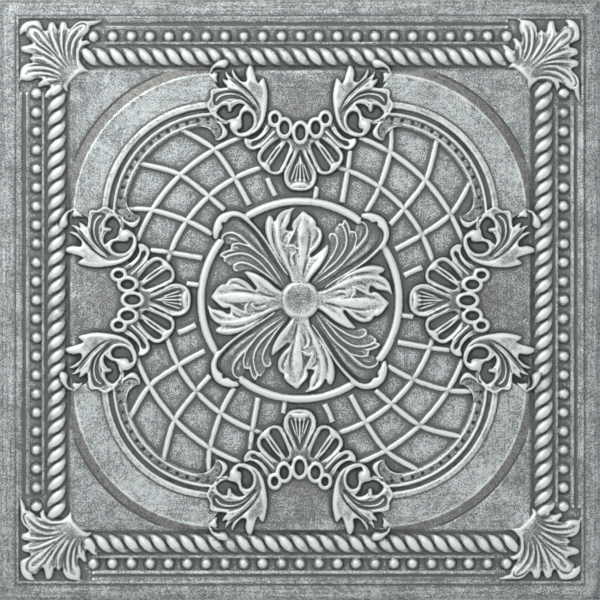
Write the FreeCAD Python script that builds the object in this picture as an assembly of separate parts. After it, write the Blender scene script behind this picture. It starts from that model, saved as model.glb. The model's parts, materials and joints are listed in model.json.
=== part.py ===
import FreeCAD, Part
import os
from math import acos, cos, hypot, pi, sin, sqrt

V = FreeCAD.Vector

# Sizes of the sheet, in millimetres
TILE_SIDE = 603.25       # a lay-in tile for a 24 inch ceiling grid
SHEET = 0.5              # thickness of the tinned steel sheet
STOCK_DEPTH = 6.0        # depth of the block below the flange while the pressed face is shaped

# The ornament is drawn on a grid of six hundred units to the side, x to the right and y down
DRAWING_SIDE = 600.0
UNIT = TILE_SIDE / DRAWING_SIDE
DRAWING_X = 299.5        # the tile's centre on the drawing
DRAWING_Y = 300.0

# Heights above the front of the flange, in millimetres
RAIL = 1.8               # rail next to the flange
GROOVE = 0.5             # grooves beside the rail and the rope, bead channel and corner pocket
FILLET = 2.0             # narrow fillets on both sides of the bead channel
BEAD = 4.6
ROPE = 7.0               # crown of a strand
STRAND_DEPTH = 2.4       # valley between two strands, below the crown
SPANDREL = 2.4           # plain field between the rope and the quatrefoil
PLATEAU = 4.6            # broad band of the quatrefoil
OUTER_RING = 5.8
DOT_BAND = 4.2           # sunk band between the thin ridge and the lattice
THIN_RIDGE = OUTER_RING - 0.2
RING_GROOVE = DOT_BAND - 0.6
LATTICE = 1.8            # ground of the lattice and of the rosette
HOOP = 4.6               # hoops of the lattice
RIB = 4.3                # ribs that cross the hoops
CENTRE_RING = 5.4
BOSS = 7.4
BOSS_DISH = 5.0
CARTOUCHE = OUTER_RING + 0.4    # ground of the scrolls and of the shell, just above the rings
FAN_GROUND = 3.0         # ground of the fans, which breaks the centre ring
SINK = 0.4               # how far a ring's or rib's foot lies below the ground it stands on

# Border, in drawing units, from the edge of the tile inwards
FLANGE_WIDTH = 15.6
RAIL_WIDTH = 7.4
RAIL_GROOVE = 3.0
FILLET_WIDTH = 2.5
CHANNEL_WIDTH = 14.0
ROPE_GAP = 2.0           # flat floor on each side of the rope
ROPE_WIDTH = 19.5
DRAFT = 1.4              # run of each sloped border step
WALL_RISE = 4            # steps of draft up to the top of the wall that bounds the field
RAIL_END = FLANGE_WIDTH + RAIL_WIDTH
FILLET_START = RAIL_END + RAIL_GROOVE
CHANNEL_START = FILLET_START + FILLET_WIDTH
CHANNEL_END = CHANNEL_START + CHANNEL_WIDTH
FILLET_END = CHANNEL_END + FILLET_WIDTH
ROPE_START = FILLET_END + ROPE_GAP
ROPE_END = ROPE_START + ROPE_WIDTH
FIELD_START = ROPE_END + ROPE_GAP

# Corner pocket, which holds the leaf and bends round the corner of the field, in drawing units
POCKET_START = FLANGE_WIDTH + 2.9
POCKET_ARM = 25.5        # length of each arm beside the field
POCKET_TOP = 1.2         # growth of the pocket up to its top
POCKET_END = ROPE_END + POCKET_ARM

# Beads and rope, in drawing units
BEAD_PITCH = 18.75
BEAD_RADIUS = 5.0
BEAD_CROWN = 2.3         # radius of a bead's flat crown
BEAD_SIDES = 5
STRAND_PITCH = 14.0
STRAND_LEAN = 1.1        # run along the rope for each unit across it

# Quatrefoil, in drawing units; each lobe is drawn about its own centre
COVE_FOOT = 149.3
COVE_WIDTH = 9.5
OUTER_RING_RADIUS = 109.8
OUTER_RING_HALF = 2.6
RING_SPACING = 10.5      # from the outer ring to the thin ridge inside it
DOT_BAND_WIDTH = 9.7     # from the thin ridge to the inner edge of the dotted band
RING_DRAFT = 1.5
LOBE_OVERLAP = 1.6       # how far the lattice floors of two lobes run into each other
THIN_RIDGE_RADIUS = OUTER_RING_RADIUS - RING_SPACING
EDGE_RADIUS = THIN_RIDGE_RADIUS - DOT_BAND_WIDTH
LATTICE_RADIUS = EDGE_RADIUS - 2 * RING_DRAFT
LOBE_OFFSET = LATTICE_RADIUS - LOBE_OVERLAP    # from the tile's centre to a lobe's centre, along both sides

# Lattice and rosette, in drawing units about the tile's centre
OUTER_HOOP_RADIUS = 173.0
INNER_HOOP_RADIUS = 138.0
HOOP_STEPS = 7           # straight stretches of a hoop in one quarter
RIB_HALF = 2.6
CENTRE_RING_RADIUS = 98.0
CENTRE_RING_HALF = 4.0
BOSS_RADIUS = 19.0
BOSS_RIM = 15.0
BOSS_DISH_RADIUS = 9.0
BOSS_FLOOR_RADIUS = 4.0

# Cross-sections of a raised strip: (share of the half width, share of the height)
ROOF = ((-1.0, 0.0), (0.0, 1.0), (1.0, 0.0))
FLAT = ((-1.0, 0.0), (-0.5, 1.0), (0.5, 1.0), (1.0, 0.0))

# Ribs that cross the hoops of the lattice in one quarter, sloping slightly round the centre
LATTICE_RIBS = (
    ((128, 209), (152, 210), (187, 221), (213, 235)),
    ((141, 163), (178, 174), (208, 196), (225, 211)),
    ((182, 130), (213, 149), (234, 178), (249, 206)),
    ((148, 250), (170, 252.5), (203, 258)),
    ((266, 172), (270, 186), (275, 198)),
)

# Folded leaves: the hub, the first notch, each lobe as (tip, crest, notch after it), the rest of the outline.
# Hubs and crests carry their rise above the leaf's ground, in millimetres
CORNER_LEAF = (
    (62, 63, 7.9),
    (84, 62),
    (
        ((88, 44), (81, 55, 6.5), (77, 46)),
        ((85, 21), (77, 34, 7.5), (67, 31)),
        ((62, 21), (63, 36, 6.9), (57.5, 28)),
        ((51, 21), (54, 36, 6.9), (46, 31)),
        ((23, 23), (35, 35, 7.9), (30, 44)),
        ((21, 49), (37, 53, 6.9), (31, 54)),
        ((28, 58.5), (42, 61.5, 6.9), (32, 63)),
        ((20, 80), (35, 71, 7.5), (39, 78)),
        ((39, 87), (51, 80, 6.7), (50, 83)),
        ((45, 91), (58, 86, 6.5), (60, 90)),
    ),
    ((65, 89), (65.5, 66), (89, 65)),
)
LEAF_START = 18.5        # the pocket's corner and side as they are on the corner leaf's drawing
LEAF_SIDE = 73.5
FAN = (
    (258, 252, 1.2),
    (248, 222),
    (
        ((229, 216.5), (237, 228, 3.1), (222, 228)),
        ((217.5, 236), (231, 240.5, 2.7), (225, 247.5)),
        ((222, 256), (234, 254.5, 2.3), (231, 262)),
        ((235, 265.5), (243, 261.5, 1.9), (247, 266)),
    ),
    ((264, 274.5), (278, 281.5), (281, 277), (277, 266), (264, 246)),
)
PETAL = (
    (299, 256, 5.2),
    (270, 248),
    (
        ((268, 215), (272, 233, 5.2), (275, 222)),
        ((293, 208), (285, 226, 6.6), (291, 222)),
        ((302, 211), (303, 230, 7.2), (313, 229)),
        ((321, 231), (315, 242, 5.6), (315, 250)),
        ((327, 245), (320, 257, 5.2), (317, 268)),
    ),
    ((307, 279), (292, 279), (286, 268)),
)

# Strips on the cartouche. A point of a spine is (x, y, half width, rise above the cartouche's ground)
SCROLL = (
    ((251, 79, 0, 0), (256, 88, 5.5, 3.4), (261, 101, 4.5, 3.6), (261, 114, 3.5, 3.4), (255, 127, 3, 3.2),
     (245, 133, 2.5, 2.8), (236, 132, 0, 0)),
    ((225, 88, 0, 0), (236, 89, 3.6, 2.6), (247, 97, 3.2, 2.8), (253.5, 107, 2.2, 2.6), (255, 115, 0, 0)),
    ((215, 101, 0, 0), (224, 98, 3.4, 2.2), (236, 100.5, 3.2, 2.6), (245, 108, 2, 2.4), (249, 116, 0, 0)),
    ((214, 109, 0, 0), (221, 110, 3, 1.8), (230, 110, 2.6, 1.8), (237, 113, 0, 0)),
    ((218, 116, 0, 0), (223, 120, 2.6, 1.8), (229, 124.5, 0, 0)),
    ((252, 147, 0, 0), (260, 146, 2.2, 2.2), (267, 139, 2.2, 2.2), (273, 131.5, 0, 0)),
    ((282, 143.5, 0, 0), (276, 152, 2.6, 2.4), (270, 160, 2.6, 2.6), (267, 164.5, 0, 0)),
    ((294.5, 147, 0, 0), (291, 156, 2.6, 2.4), (287.5, 166, 2.6, 2.6), (286, 173, 0, 0)),
)
SHELL_LIP = ((289.5, 176.5, 0, 0), (292, 181, 2.2, 2.4), (299.5, 183.5, 2.8, 2.8), (307, 181, 2.2, 2.4),
             (309.5, 176.5, 0, 0))
SHELL_RAY = ((299.5, 151, 0, 0), (299.5, 163, 2.2, 1.6), (299.5, 175, 0, 0))
VOLUTE_BALL = (238, 121, 5.0, 2.6)
# Openings of the shell's crest: (x, y, half width, half height) to the middle of the raised rim
OVALS = ((299.5, 133, 5.5, 8), (283, 126, 4.8, 6.4), (271, 117, 3.4, 4.4))
OVAL_RIM = 2.0           # half width of the rim, in drawing units
OVAL_RIM_RISE = 2.8      # above the cartouche's ground
OVAL_SIDES = 6

# Left half of the outline of the cartouche's ground, from the top middle round to the tip of the shell
CARTOUCHE_HALF = ((262, 71.5), (211, 82), (206, 108), (213, 120), (229, 135), (243, 149), (256, 161),
                  (267, 174), (284, 178), (288, 188))
CARTOUCHE_TIP = 191.0
# Left half of the blank panel between the two scrolls, from above the cartouche down to its lowest point
PANEL_HALF = ((270, 60), (270, 104), (283, 112))
PANEL_TIP = 117.5
PANEL_TOP = 1.06         # growth of the panel up to its top
FAN_OUTLINE = ((214, 238), (212, 226), (221, 213), (236, 209.5), (249, 216), (267, 243.5), (281, 266),
               (285.5, 280), (280, 286), (266, 278.5), (245, 268.5), (231, 269.5), (218, 259))
CARTOUCHE_TOP = 0.95     # share of the cartouche's outline that is left at the top of its sloped side
FAN_TOP = 0.93           # the same for a fan's ground
FAN_GAP = 1.02           # growth of the gap that a fan breaks in the centre ring, up to its top

HALF = TILE_SIDE / 2


def point(x, y, height):
    """Place a point of the drawing on the tile at a height above the front of the flange."""
    return V((x - DRAWING_X) * UNIT, (DRAWING_Y - y) * UNIT, SHEET + height)


def from_edge(inset):
    """Give the place on the drawing of a line that lies in from the tile's left and top edges."""
    return DRAWING_X - DRAWING_SIDE / 2 + inset, DRAWING_Y - DRAWING_SIDE / 2 + inset


def mirrored(place):
    """Mirror a place on the drawing about the upright line through the tile's centre."""
    return (2 * DRAWING_X - place[0],) + tuple(place[1:])


def polygon(corners):
    """Close corners into a ring, leaving out repeated ones; None where less than a triangle is left."""
    ring = []
    for corner in corners:
        if not ring or (corner - ring[-1]).Length > 1e-6:
            ring.append(corner)
    if (ring[0] - ring[-1]).Length < 1e-6:
        ring.pop()
    if len(ring) < 3:
        return None
    return Part.makePolygon(ring + [ring[0]])


def facets(faces):
    """Make the flat faces between given corners."""
    rings = [polygon(corners) for corners in faces]
    return [Part.Face(ring) for ring in rings if ring]


def solid_of(faces):
    """Sew faces into one solid that has its outside out."""
    shell = Part.Shell(faces)
    shell.sewShape()
    solid = Part.Solid(shell)
    if solid.Volume < 0:
        solid.reverse()
    return solid


def turned(shape, quarters):
    """Turn a shape about the tile's centre by whole quarter turns, anticlockwise seen from above."""
    copy = shape.copy()
    copy.rotate(V(0, 0, 0), V(0, 0, 1), 90 * quarters)
    return copy


def strip(section, spine, foot, lean=None):
    """Make a tapered strip along a spine, as its outline and its facets; rows lie square to it or lean."""
    rows = []
    for index, (x, y, half, crest) in enumerate(spine):
        before = spine[max(index - 1, 0)]
        after = spine[min(index + 1, len(spine) - 1)]
        run = hypot(after[0] - before[0], after[1] - before[1])
        across = ((before[1] - after[1]) / run, (after[0] - before[0]) / run)
        if lean is not None:
            across = (lean, 1.0)
        row = []
        for share, rise in section:
            row.append(point(x + across[0] * share * half, y + across[1] * share * half, foot + rise * crest))
        rows.append(row)
    faces = []
    for near, far in zip(rows, rows[1:]):
        for side in range(len(section) - 1):
            faces.append((near[side], far[side], far[side + 1]))
            faces.append((near[side], far[side + 1], near[side + 1]))
    left = [row[0] for row in rows]
    right = [row[-1] for row in rows]
    return left + rows[-1][1:-1] + right[::-1] + rows[0][-2:0:-1], faces


def frustum(outline, foot, top, share):
    """Raise an outline with sloped sides, as its outline and its facets; share is what is left at the top."""
    mid_x = sum(corner[0] for corner in outline) / len(outline)
    mid_y = sum(corner[1] for corner in outline) / len(outline)
    low = [point(x, y, foot) for x, y in outline]
    high = [point(mid_x + share * (x - mid_x), mid_y + share * (y - mid_y), top) for x, y in outline]
    faces = [high]
    for index in range(len(outline)):
        after = (index + 1) % len(outline)
        faces.append((low[index], low[after], high[after], high[index]))
    return low, faces


def round_frustum(x, y, radius, crown, foot, top):
    """Raise a bead or a ball with a flat crown."""
    outline = []
    for side in range(BEAD_SIDES):
        turn = 2 * pi * (side + 0.5) / BEAD_SIDES
        outline.append((x + radius * cos(turn), y + radius * sin(turn)))
    return frustum(outline, foot, top, crown / radius)


def folded_leaf(leaf, foot):
    """Fold a leaf: each lobe rises from its two notches to a crest that runs from the hub to the tip."""
    hub, first, lobes, base = leaf
    centre = point(hub[0], hub[1], foot + hub[2])
    notch = point(first[0], first[1], foot)
    outline = [notch]
    faces = []
    for tip, crest, after in lobes:
        end = point(tip[0], tip[1], foot)
        ridge = point(crest[0], crest[1], foot + crest[2])
        nearby = point(after[0], after[1], foot)
        faces += [(centre, notch, ridge), (notch, end, ridge), (ridge, end, nearby), (centre, ridge, nearby)]
        outline += [end, nearby]
        notch = nearby
    for x, y in base:
        nearby = point(x, y, foot)
        faces.append((centre, notch, nearby))
        outline.append(nearby)
        notch = nearby
    faces.append((centre, notch, outline[0]))
    return outline, faces


def fitted_leaf():
    """Fit the corner leaf to the pocket of the top left corner."""
    corner = from_edge(POCKET_START)
    scale = (POCKET_END - POCKET_START) / LEAF_SIDE

    def fit(place):
        """Move one place of the leaf's drawing."""
        x = corner[0] + (place[0] - LEAF_START) * scale
        y = corner[1] + (place[1] - LEAF_START) * scale
        return (x, y) + place[2:]

    hub, first, lobes, base = CORNER_LEAF
    lobes = [tuple(fit(place) for place in lobe) for lobe in lobes]
    return fit(hub), fit(first), lobes, [fit(place) for place in base]


def oval(x, y, half_wide, half_high):
    """Raise the rim of one opening of the shell's crest round its flat floor."""
    inner, mid, outer = [], [], []
    for index in range(OVAL_SIDES):
        turn = 2 * pi * index / OVAL_SIDES
        for ring, grow, height in ((inner, -OVAL_RIM, CARTOUCHE),
                                   (mid, 0, CARTOUCHE + OVAL_RIM_RISE), (outer, OVAL_RIM, CARTOUCHE)):
            ring.append(point(x + cos(turn) * (half_wide + grow), y + sin(turn) * (half_high + grow), height))
    faces = [inner]
    for index in range(OVAL_SIDES):
        after = (index + 1) % OVAL_SIDES
        for low, high in ((inner, mid), (mid, outer)):
            faces.append((low[index], high[index], high[after]))
            faces.append((low[index], high[after], low[after]))
    return outer, faces


def revolved(profile, x, y):
    """Turn a radial profile of (radius, height) about an upright axis on the drawing."""
    axis = point(x, y, 0)
    corners = [V(radius * UNIT, 0, SHEET + height) for radius, height in profile]
    corners.append(V(profile[-1][0] * UNIT, 0, -STOCK_DEPTH))
    corners.append(V(profile[0][0] * UNIT, 0, -STOCK_DEPTH))
    face = Part.Face(polygon(corners))
    solid = face.revolve(V(0, 0, 0), V(0, 0, 1), 360)
    solid.translate(V(axis.x, axis.y, 0))
    return solid


def square_steps(steps):
    """Make a solid with square steps, given as (inset in drawing units, height) from the outside in."""
    rings = []
    for inset, height in steps:
        reach = HALF - inset * UNIT
        corners = ((-reach, -reach), (reach, -reach), (reach, reach), (-reach, reach))
        rings.append([V(x, y, SHEET + height) for x, y in corners])
    faces = [rings[0], rings[-1]]
    for low, high in zip(rings, rings[1:]):
        for index in range(4):
            after = (index + 1) % 4
            faces.append((low[index], low[after], high[after], high[index]))
    return solid_of(facets(faces))


def border():
    """Make the square steps of the border, with a low floor inside them."""
    run = min(DRAFT, FILLET_WIDTH / 2)
    return square_steps((
        (0, -STOCK_DEPTH), (0, 0), (FLANGE_WIDTH, 0), (FLANGE_WIDTH + DRAFT, RAIL), (RAIL_END - DRAFT, RAIL),
        (RAIL_END, GROOVE), (FILLET_START, GROOVE), (FILLET_START + run, FILLET),
        (CHANNEL_START, FILLET), (CHANNEL_START + DRAFT, GROOVE), (CHANNEL_END - DRAFT, GROOVE),
        (CHANNEL_END, FILLET), (FILLET_END - run, FILLET), (FILLET_END, GROOVE),
    ))


def quatrefoil(fine):
    """Make the ground of one quarter inside the rope; fine adds the rings to its bands and steps."""
    outer_in = OUTER_RING_RADIUS - OUTER_RING_HALF
    outer_out = OUTER_RING_RADIUS + OUTER_RING_HALF
    ridge_in = THIN_RIDGE_RADIUS - RING_DRAFT
    ridge_out = THIN_RIDGE_RADIUS + RING_DRAFT
    lattice_floor = ((0, LATTICE), (LATTICE_RADIUS, LATTICE))
    rings = ((EDGE_RADIUS, RING_GROOVE), (outer_out, RING_GROOVE))
    if fine:
        rings = ((EDGE_RADIUS, DOT_BAND), (ridge_in, DOT_BAND), (THIN_RIDGE_RADIUS, THIN_RIDGE),
                 (ridge_out, RING_GROOVE), (outer_in - RING_DRAFT, RING_GROOVE), (outer_in, OUTER_RING),
                 (outer_out, OUTER_RING))
    bands = ((outer_out + RING_DRAFT, PLATEAU), (COVE_FOOT - COVE_WIDTH, PLATEAU), (COVE_FOOT, SPANDREL),
             (DRAWING_SIDE / 2, SPANDREL))
    profile = lattice_floor + rings + bands
    lobe = revolved(profile, DRAWING_X - LOBE_OFFSET, DRAWING_Y - LOBE_OFFSET)
    wall = square_steps((
        (FIELD_START, -STOCK_DEPTH), (FIELD_START, GROOVE),
        (FIELD_START + WALL_RISE * DRAFT, GROOVE + WALL_RISE * (SPANDREL - GROOVE)),
    ))
    reach = LOBE_OFFSET * UNIT
    middle = Part.makeBox(2 * reach, 2 * reach, TILE_SIDE, V(-reach, -reach, SHEET + LATTICE))
    return lobe.common(wall).cut(middle)


def corner_pocket():
    """Make the block that is cut away for the corner leaf."""
    left, top = from_edge(POCKET_START)
    right, bottom = from_edge(POCKET_END)
    inner_x, inner_y = from_edge(ROPE_END)
    outline = ((left, top), (right, top), (right, inner_y), (inner_x, inner_y), (inner_x, bottom),
               (left, bottom))
    low, faces = frustum(outline, GROOVE, BOSS, POCKET_TOP)
    return solid_of(facets(faces + [low]))


def cartouche_ground():
    """Make the raised ground of the top cartouche."""
    outline = list(CARTOUCHE_HALF) + [(DRAWING_X, CARTOUCHE_TIP)]
    outline += [mirrored(place) for place in reversed(CARTOUCHE_HALF)]
    low, faces = frustum(outline, GROOVE, CARTOUCHE, CARTOUCHE_TOP)
    panel = list(PANEL_HALF) + [(DRAWING_X, PANEL_TIP)]
    panel += [mirrored(place) for place in reversed(PANEL_HALF)]
    floor, sides = frustum(panel, PLATEAU, BOSS, PANEL_TOP)
    return solid_of(facets(faces + [low])).cut(solid_of(facets(sides + [floor])))


def fan_ground(top, share):
    """Make the ground of the fan of one quarter up to a height, with a share of its outline left there."""
    low, faces = frustum(FAN_OUTLINE, GROOVE, top, share)
    return solid_of(facets(faces + [low]))


def lattice():
    """Make the hoops of one quarter, which end inside the dotted band's edge, and the ribs across them."""
    spines = []
    for radius in (OUTER_HOOP_RADIUS, INNER_HOOP_RADIUS):
        reach = radius ** 2 + 2 * LOBE_OFFSET ** 2 - EDGE_RADIUS ** 2
        half_sweep = acos(min(reach / (2 * radius * LOBE_OFFSET * sqrt(2)), cos(pi / 18)))
        spine = []
        for step in range(HOOP_STEPS + 1):
            turn = pi / 4 + half_sweep * (2 * step / HOOP_STEPS - 1)
            spine.append((DRAWING_X - radius * cos(turn), DRAWING_Y - radius * sin(turn)))
        spines.append((spine, HOOP))
    spines += [(spine, RIB) for spine in LATTICE_RIBS]
    pieces = []
    for order, (spine, top) in enumerate(spines):
        low = LATTICE - SINK * (1 + order / len(spines))
        path = [(x, y, RIB_HALF, top - low) for x, y in spine]
        path[0] = path[0][:3] + (0,)
        path[-1] = path[-1][:3] + (0,)
        outline, faces = strip(ROOF, path, low)
        pieces.append(solid_of(facets(faces + [outline])))
    return pieces


def ground_quarter(fine):
    """Join the border and everything that stands across several grounds, and keep one quarter."""
    block = border().fuse(quatrefoil(fine)).cut(corner_pocket())
    low = LATTICE - SINK
    boss = ((0, BOSS_DISH), (BOSS_FLOOR_RADIUS, BOSS_DISH), (BOSS_DISH_RADIUS, BOSS), (BOSS_RIM, BOSS),
            (BOSS_RADIUS, low))
    shield = cartouche_ground()
    pieces = [revolved(boss, DRAWING_X, DRAWING_Y), fan_ground(FAN_GROUND, FAN_TOP), shield,
              turned(shield, 1)]
    if fine:
        half = CENTRE_RING_HALF
        ring = ((CENTRE_RING_RADIUS - half, low), (CENTRE_RING_RADIUS - half / 2, CENTRE_RING),
                (CENTRE_RING_RADIUS + half / 2, CENTRE_RING), (CENTRE_RING_RADIUS + half, low))
        pieces.append(revolved(ring, DRAWING_X, DRAWING_Y).cut(fan_ground(BOSS, FAN_GAP)))
        pieces += lattice()
    block = block.multiFuse(pieces)
    clip = Part.makeBox(TILE_SIDE, TILE_SIDE, TILE_SIDE, V(-TILE_SIDE, 0, -HALF))
    return block.common(clip)


def ground(fine):
    """Take the upper face of all four quarters as one skin."""
    block = ground_quarter(fine)
    upper = [face for face in block.Faces if face.BoundBox.ZMin > -STOCK_DEPTH / 2]
    skin = Part.Shell([turned(face, quarter) for quarter in range(4) for face in upper])
    skin.sewShape()
    return skin.removeSplitter()


def rope(fine):
    """Lay the rope of the top side between the corner pockets; fine shapes its strands."""
    half = ROPE_WIDTH / 2
    middle = from_edge(ROPE_START + half)[1]
    run = DRAWING_SIDE - 2 * (POCKET_END + STRAND_LEAN * half)
    count = int(run / STRAND_PITCH)
    start = DRAWING_X - count * STRAND_PITCH / 2
    valley = ROPE - STRAND_DEPTH - GROOVE
    spine = [(start, middle, half, 0)]
    if fine:
        for strand in range(count):
            spine.append((start + (strand + 0.5) * STRAND_PITCH, middle, half, ROPE - GROOVE))
            spine.append((start + (strand + 1) * STRAND_PITCH, middle, half, valley))
        spine.pop()
    else:
        spine.append((start + STRAND_PITCH, middle, half, valley))
        spine.append((start + (count - 1) * STRAND_PITCH, middle, half, valley))
    spine.append((start + count * STRAND_PITCH, middle, half, 0))
    return strip(FLAT, spine, GROOVE, STRAND_LEAN)


def leaves():
    """List the leaves of one quarter: petal, corner leaf and fan."""
    return [folded_leaf(PETAL, LATTICE), folded_leaf(fitted_leaf(), GROOVE), folded_leaf(FAN, FAN_GROUND)]


def small_reliefs():
    """List the reliefs that fill solid in so thin a sheet: beads, and the ornament of the cartouche."""
    reliefs = []
    middle = from_edge((CHANNEL_START + CHANNEL_END) / 2)[1]
    each_way = int((DRAWING_SIDE / 2 - POCKET_END - BEAD_RADIUS) / BEAD_PITCH)
    for index in range(-each_way, each_way + 1):
        x = DRAWING_X + index * BEAD_PITCH
        reliefs.append(round_frustum(x, middle, BEAD_RADIUS, BEAD_CROWN, GROOVE, BEAD))
    for spine in SCROLL:
        reliefs.append(strip(ROOF, spine, CARTOUCHE))
        reliefs.append(strip(ROOF, [mirrored(place) for place in spine], CARTOUCHE))
    reliefs.append(strip(ROOF, SHELL_LIP, CARTOUCHE))
    reliefs.append(strip(ROOF, SHELL_RAY, CARTOUCHE))
    for ball in (VOLUTE_BALL, mirrored(VOLUTE_BALL)):
        reliefs.append(round_frustum(ball[0], ball[1], ball[2], BEAD_CROWN, CARTOUCHE, CARTOUCHE + ball[3]))
    for opening in OVALS:
        reliefs.append(oval(*opening))
        if opening[0] < DRAWING_X:
            reliefs.append(oval(*mirrored(opening)))
    return reliefs


def pressed(skin, reliefs):
    """Press the reliefs of every quarter into the flat faces of the skin."""
    raised = []
    rings = []
    for outline, faces in reliefs:
        ring = polygon(outline)
        skins = facets(faces)
        for quarter in range(4):
            rings.append(turned(ring, quarter))
            raised += [turned(face, quarter) for face in skins]
    flats = []
    for face in skin.Faces:
        box = face.BoundBox
        inside = []
        if box.ZLength < 1e-6:
            for ring in rings:
                spot = ring.Vertexes[0].Point
                if abs(spot.z - box.ZMax) < 1e-6 and face.isInside(spot, 1e-4, True):
                    inside.append(ring)
        if inside:
            face = Part.makeFace(list(face.Wires) + inside, "Part::FaceMakerBullseye")
        flats.append(face)
    return flats + raised


def tile():
    """Close the front, the back one sheet below it and the four cut edges into one sheet."""
    front = pressed(ground(True), [rope(True)] + leaves() + small_reliefs())
    back = [face.translated(V(0, 0, -SHEET)) for face in pressed(ground(False), [rope(False)] + leaves())]
    corners = ((-HALF, -HALF), (HALF, -HALF), (HALF, HALF), (-HALF, HALF))
    walls = []
    for index, near in enumerate(corners):
        far = corners[(index + 1) % 4]
        walls.append((V(near[0], near[1], 0), V(far[0], far[1], 0), V(far[0], far[1], SHEET),
                      V(near[0], near[1], SHEET)))
    return solid_of(front + back + facets(walls))


def main():
    """Build the tile and write it."""
    os.makedirs("parts", exist_ok=True)
    sheet = tile()
    sheet.exportStep("parts/ceiling_tile.step")
    box = sheet.BoundBox
    print("faces", len(sheet.Faces), "valid", sheet.isValid(), "closed", sheet.Shells[0].isClosed())
    print("volume", round(sheet.Volume), "size", round(box.XLength, 2), round(box.ZLength, 2))


main()
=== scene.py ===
"""The pressed tin ceiling tile: its stamped sheet, its rubbed silver finish with painted shade and highlight, floor,
light and camera.
"""
import json
import logging
import math
from dataclasses import dataclass
from enum import Enum
from typing import Any, Callable, Sequence

import bpy
import numpy as np
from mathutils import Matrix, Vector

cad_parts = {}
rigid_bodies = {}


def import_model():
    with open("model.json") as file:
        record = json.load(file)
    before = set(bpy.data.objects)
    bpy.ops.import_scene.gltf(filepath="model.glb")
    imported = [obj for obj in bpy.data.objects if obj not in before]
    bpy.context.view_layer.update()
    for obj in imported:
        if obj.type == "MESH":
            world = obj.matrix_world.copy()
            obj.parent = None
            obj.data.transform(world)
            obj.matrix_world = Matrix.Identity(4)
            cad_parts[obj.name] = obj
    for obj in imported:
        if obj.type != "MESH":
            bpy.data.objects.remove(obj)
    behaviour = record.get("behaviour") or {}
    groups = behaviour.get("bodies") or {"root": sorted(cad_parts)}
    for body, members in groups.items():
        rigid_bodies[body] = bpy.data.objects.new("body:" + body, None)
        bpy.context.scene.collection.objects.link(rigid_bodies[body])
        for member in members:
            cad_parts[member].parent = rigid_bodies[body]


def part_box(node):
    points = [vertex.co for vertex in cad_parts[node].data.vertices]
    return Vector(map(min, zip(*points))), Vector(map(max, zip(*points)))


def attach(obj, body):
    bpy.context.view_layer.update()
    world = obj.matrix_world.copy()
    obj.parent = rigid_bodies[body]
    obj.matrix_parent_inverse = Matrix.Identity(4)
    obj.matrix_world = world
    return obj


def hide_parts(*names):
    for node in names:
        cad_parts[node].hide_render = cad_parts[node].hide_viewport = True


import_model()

LOG = logging.getLogger("ceiling_tile")
MM = 0.001
DRAWING_SIDE = 600.0
CENTRE_X, CENTRE_Y = 299.5, 300.0
Point = tuple[float, float]
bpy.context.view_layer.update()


class Ends(Enum):
    """Which ends of a stroke run out to nothing."""

    BLUNT = (0.0, 0.0)
    FIRST = (1.0, 0.0)
    LAST = (0.0, 1.0)
    BOTH = (1.0, 1.0)


class Section(Enum):
    """The cross section of a raised or sunk stroke."""

    ROUND = "round"
    SOFT = "soft"


def trace(*numbers: float) -> list[Point]:
    """Pairs up a run of numbers.

    Args:
        numbers: x and y in turn, in drawing units, y downwards.

    Returns:
        The points of the line.
    """
    return list(zip(numbers[0::2], numbers[1::2]))


def mirrored(points: Sequence[Point], axis: float = 299.7) -> list[Point]:
    """Points on the other side of an upright axis.

    Args:
        points: The points to mirror.
        axis: The x of the axis in drawing units.

    Returns:
        The mirrored points, in the same order.
    """
    return [(2 * axis - x, y) for x, y in points]


def ellipse(x: float, y: float, half_width: float, half_height: float) -> list[Point]:
    """The outline of an ellipse.

    Args:
        x: Middle, in drawing units.
        y: Middle, in drawing units.
        half_width: Half its width.
        half_height: Half its height.

    Returns:
        Sixteen points round it.
    """
    turns = [2 * math.pi * k / 16 for k in range(16)]
    return [(x + half_width * math.cos(t), y + half_height * math.sin(t)) for t in turns]


def flowing(points: Sequence[Point], closed: bool = False, parts: int = 5) -> np.ndarray:
    """A smooth line through the points.

    Args:
        points: The points it passes through.
        closed: Whether it returns to its start.
        parts: Steps between two points.

    Returns:
        An array of points, two columns.
    """
    p = np.asarray(points, float)
    if len(p) < 3:
        return p
    if closed:
        around = np.vstack([p[-1], p, p[0], p[1]])
    else:
        around = np.vstack([2 * p[0] - p[1], p, 2 * p[-1] - p[-2]])
    t = np.linspace(0, 1, parts, endpoint=False)[:, None]
    runs = []
    for a, b, c, d in zip(around, around[1:], around[2:], around[3:]):
        runs.append(0.5 * (2 * b + (c - a) * t + (2 * a - 5 * b + 4 * c - d) * t**2
                           + (3 * b - a - 3 * c + d) * t**3))
    line = np.vstack(runs)
    return line if closed else np.vstack([line, p[-1]])


def read(table: Sequence[Point], where: np.ndarray) -> np.ndarray:
    """Reads a table of places and values, straight between its rows.

    Args:
        table: Rising places, each with its value.
        where: The places to read it at.

    Returns:
        The values there.
    """
    return np.interp(where, *zip(*table))


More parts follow.
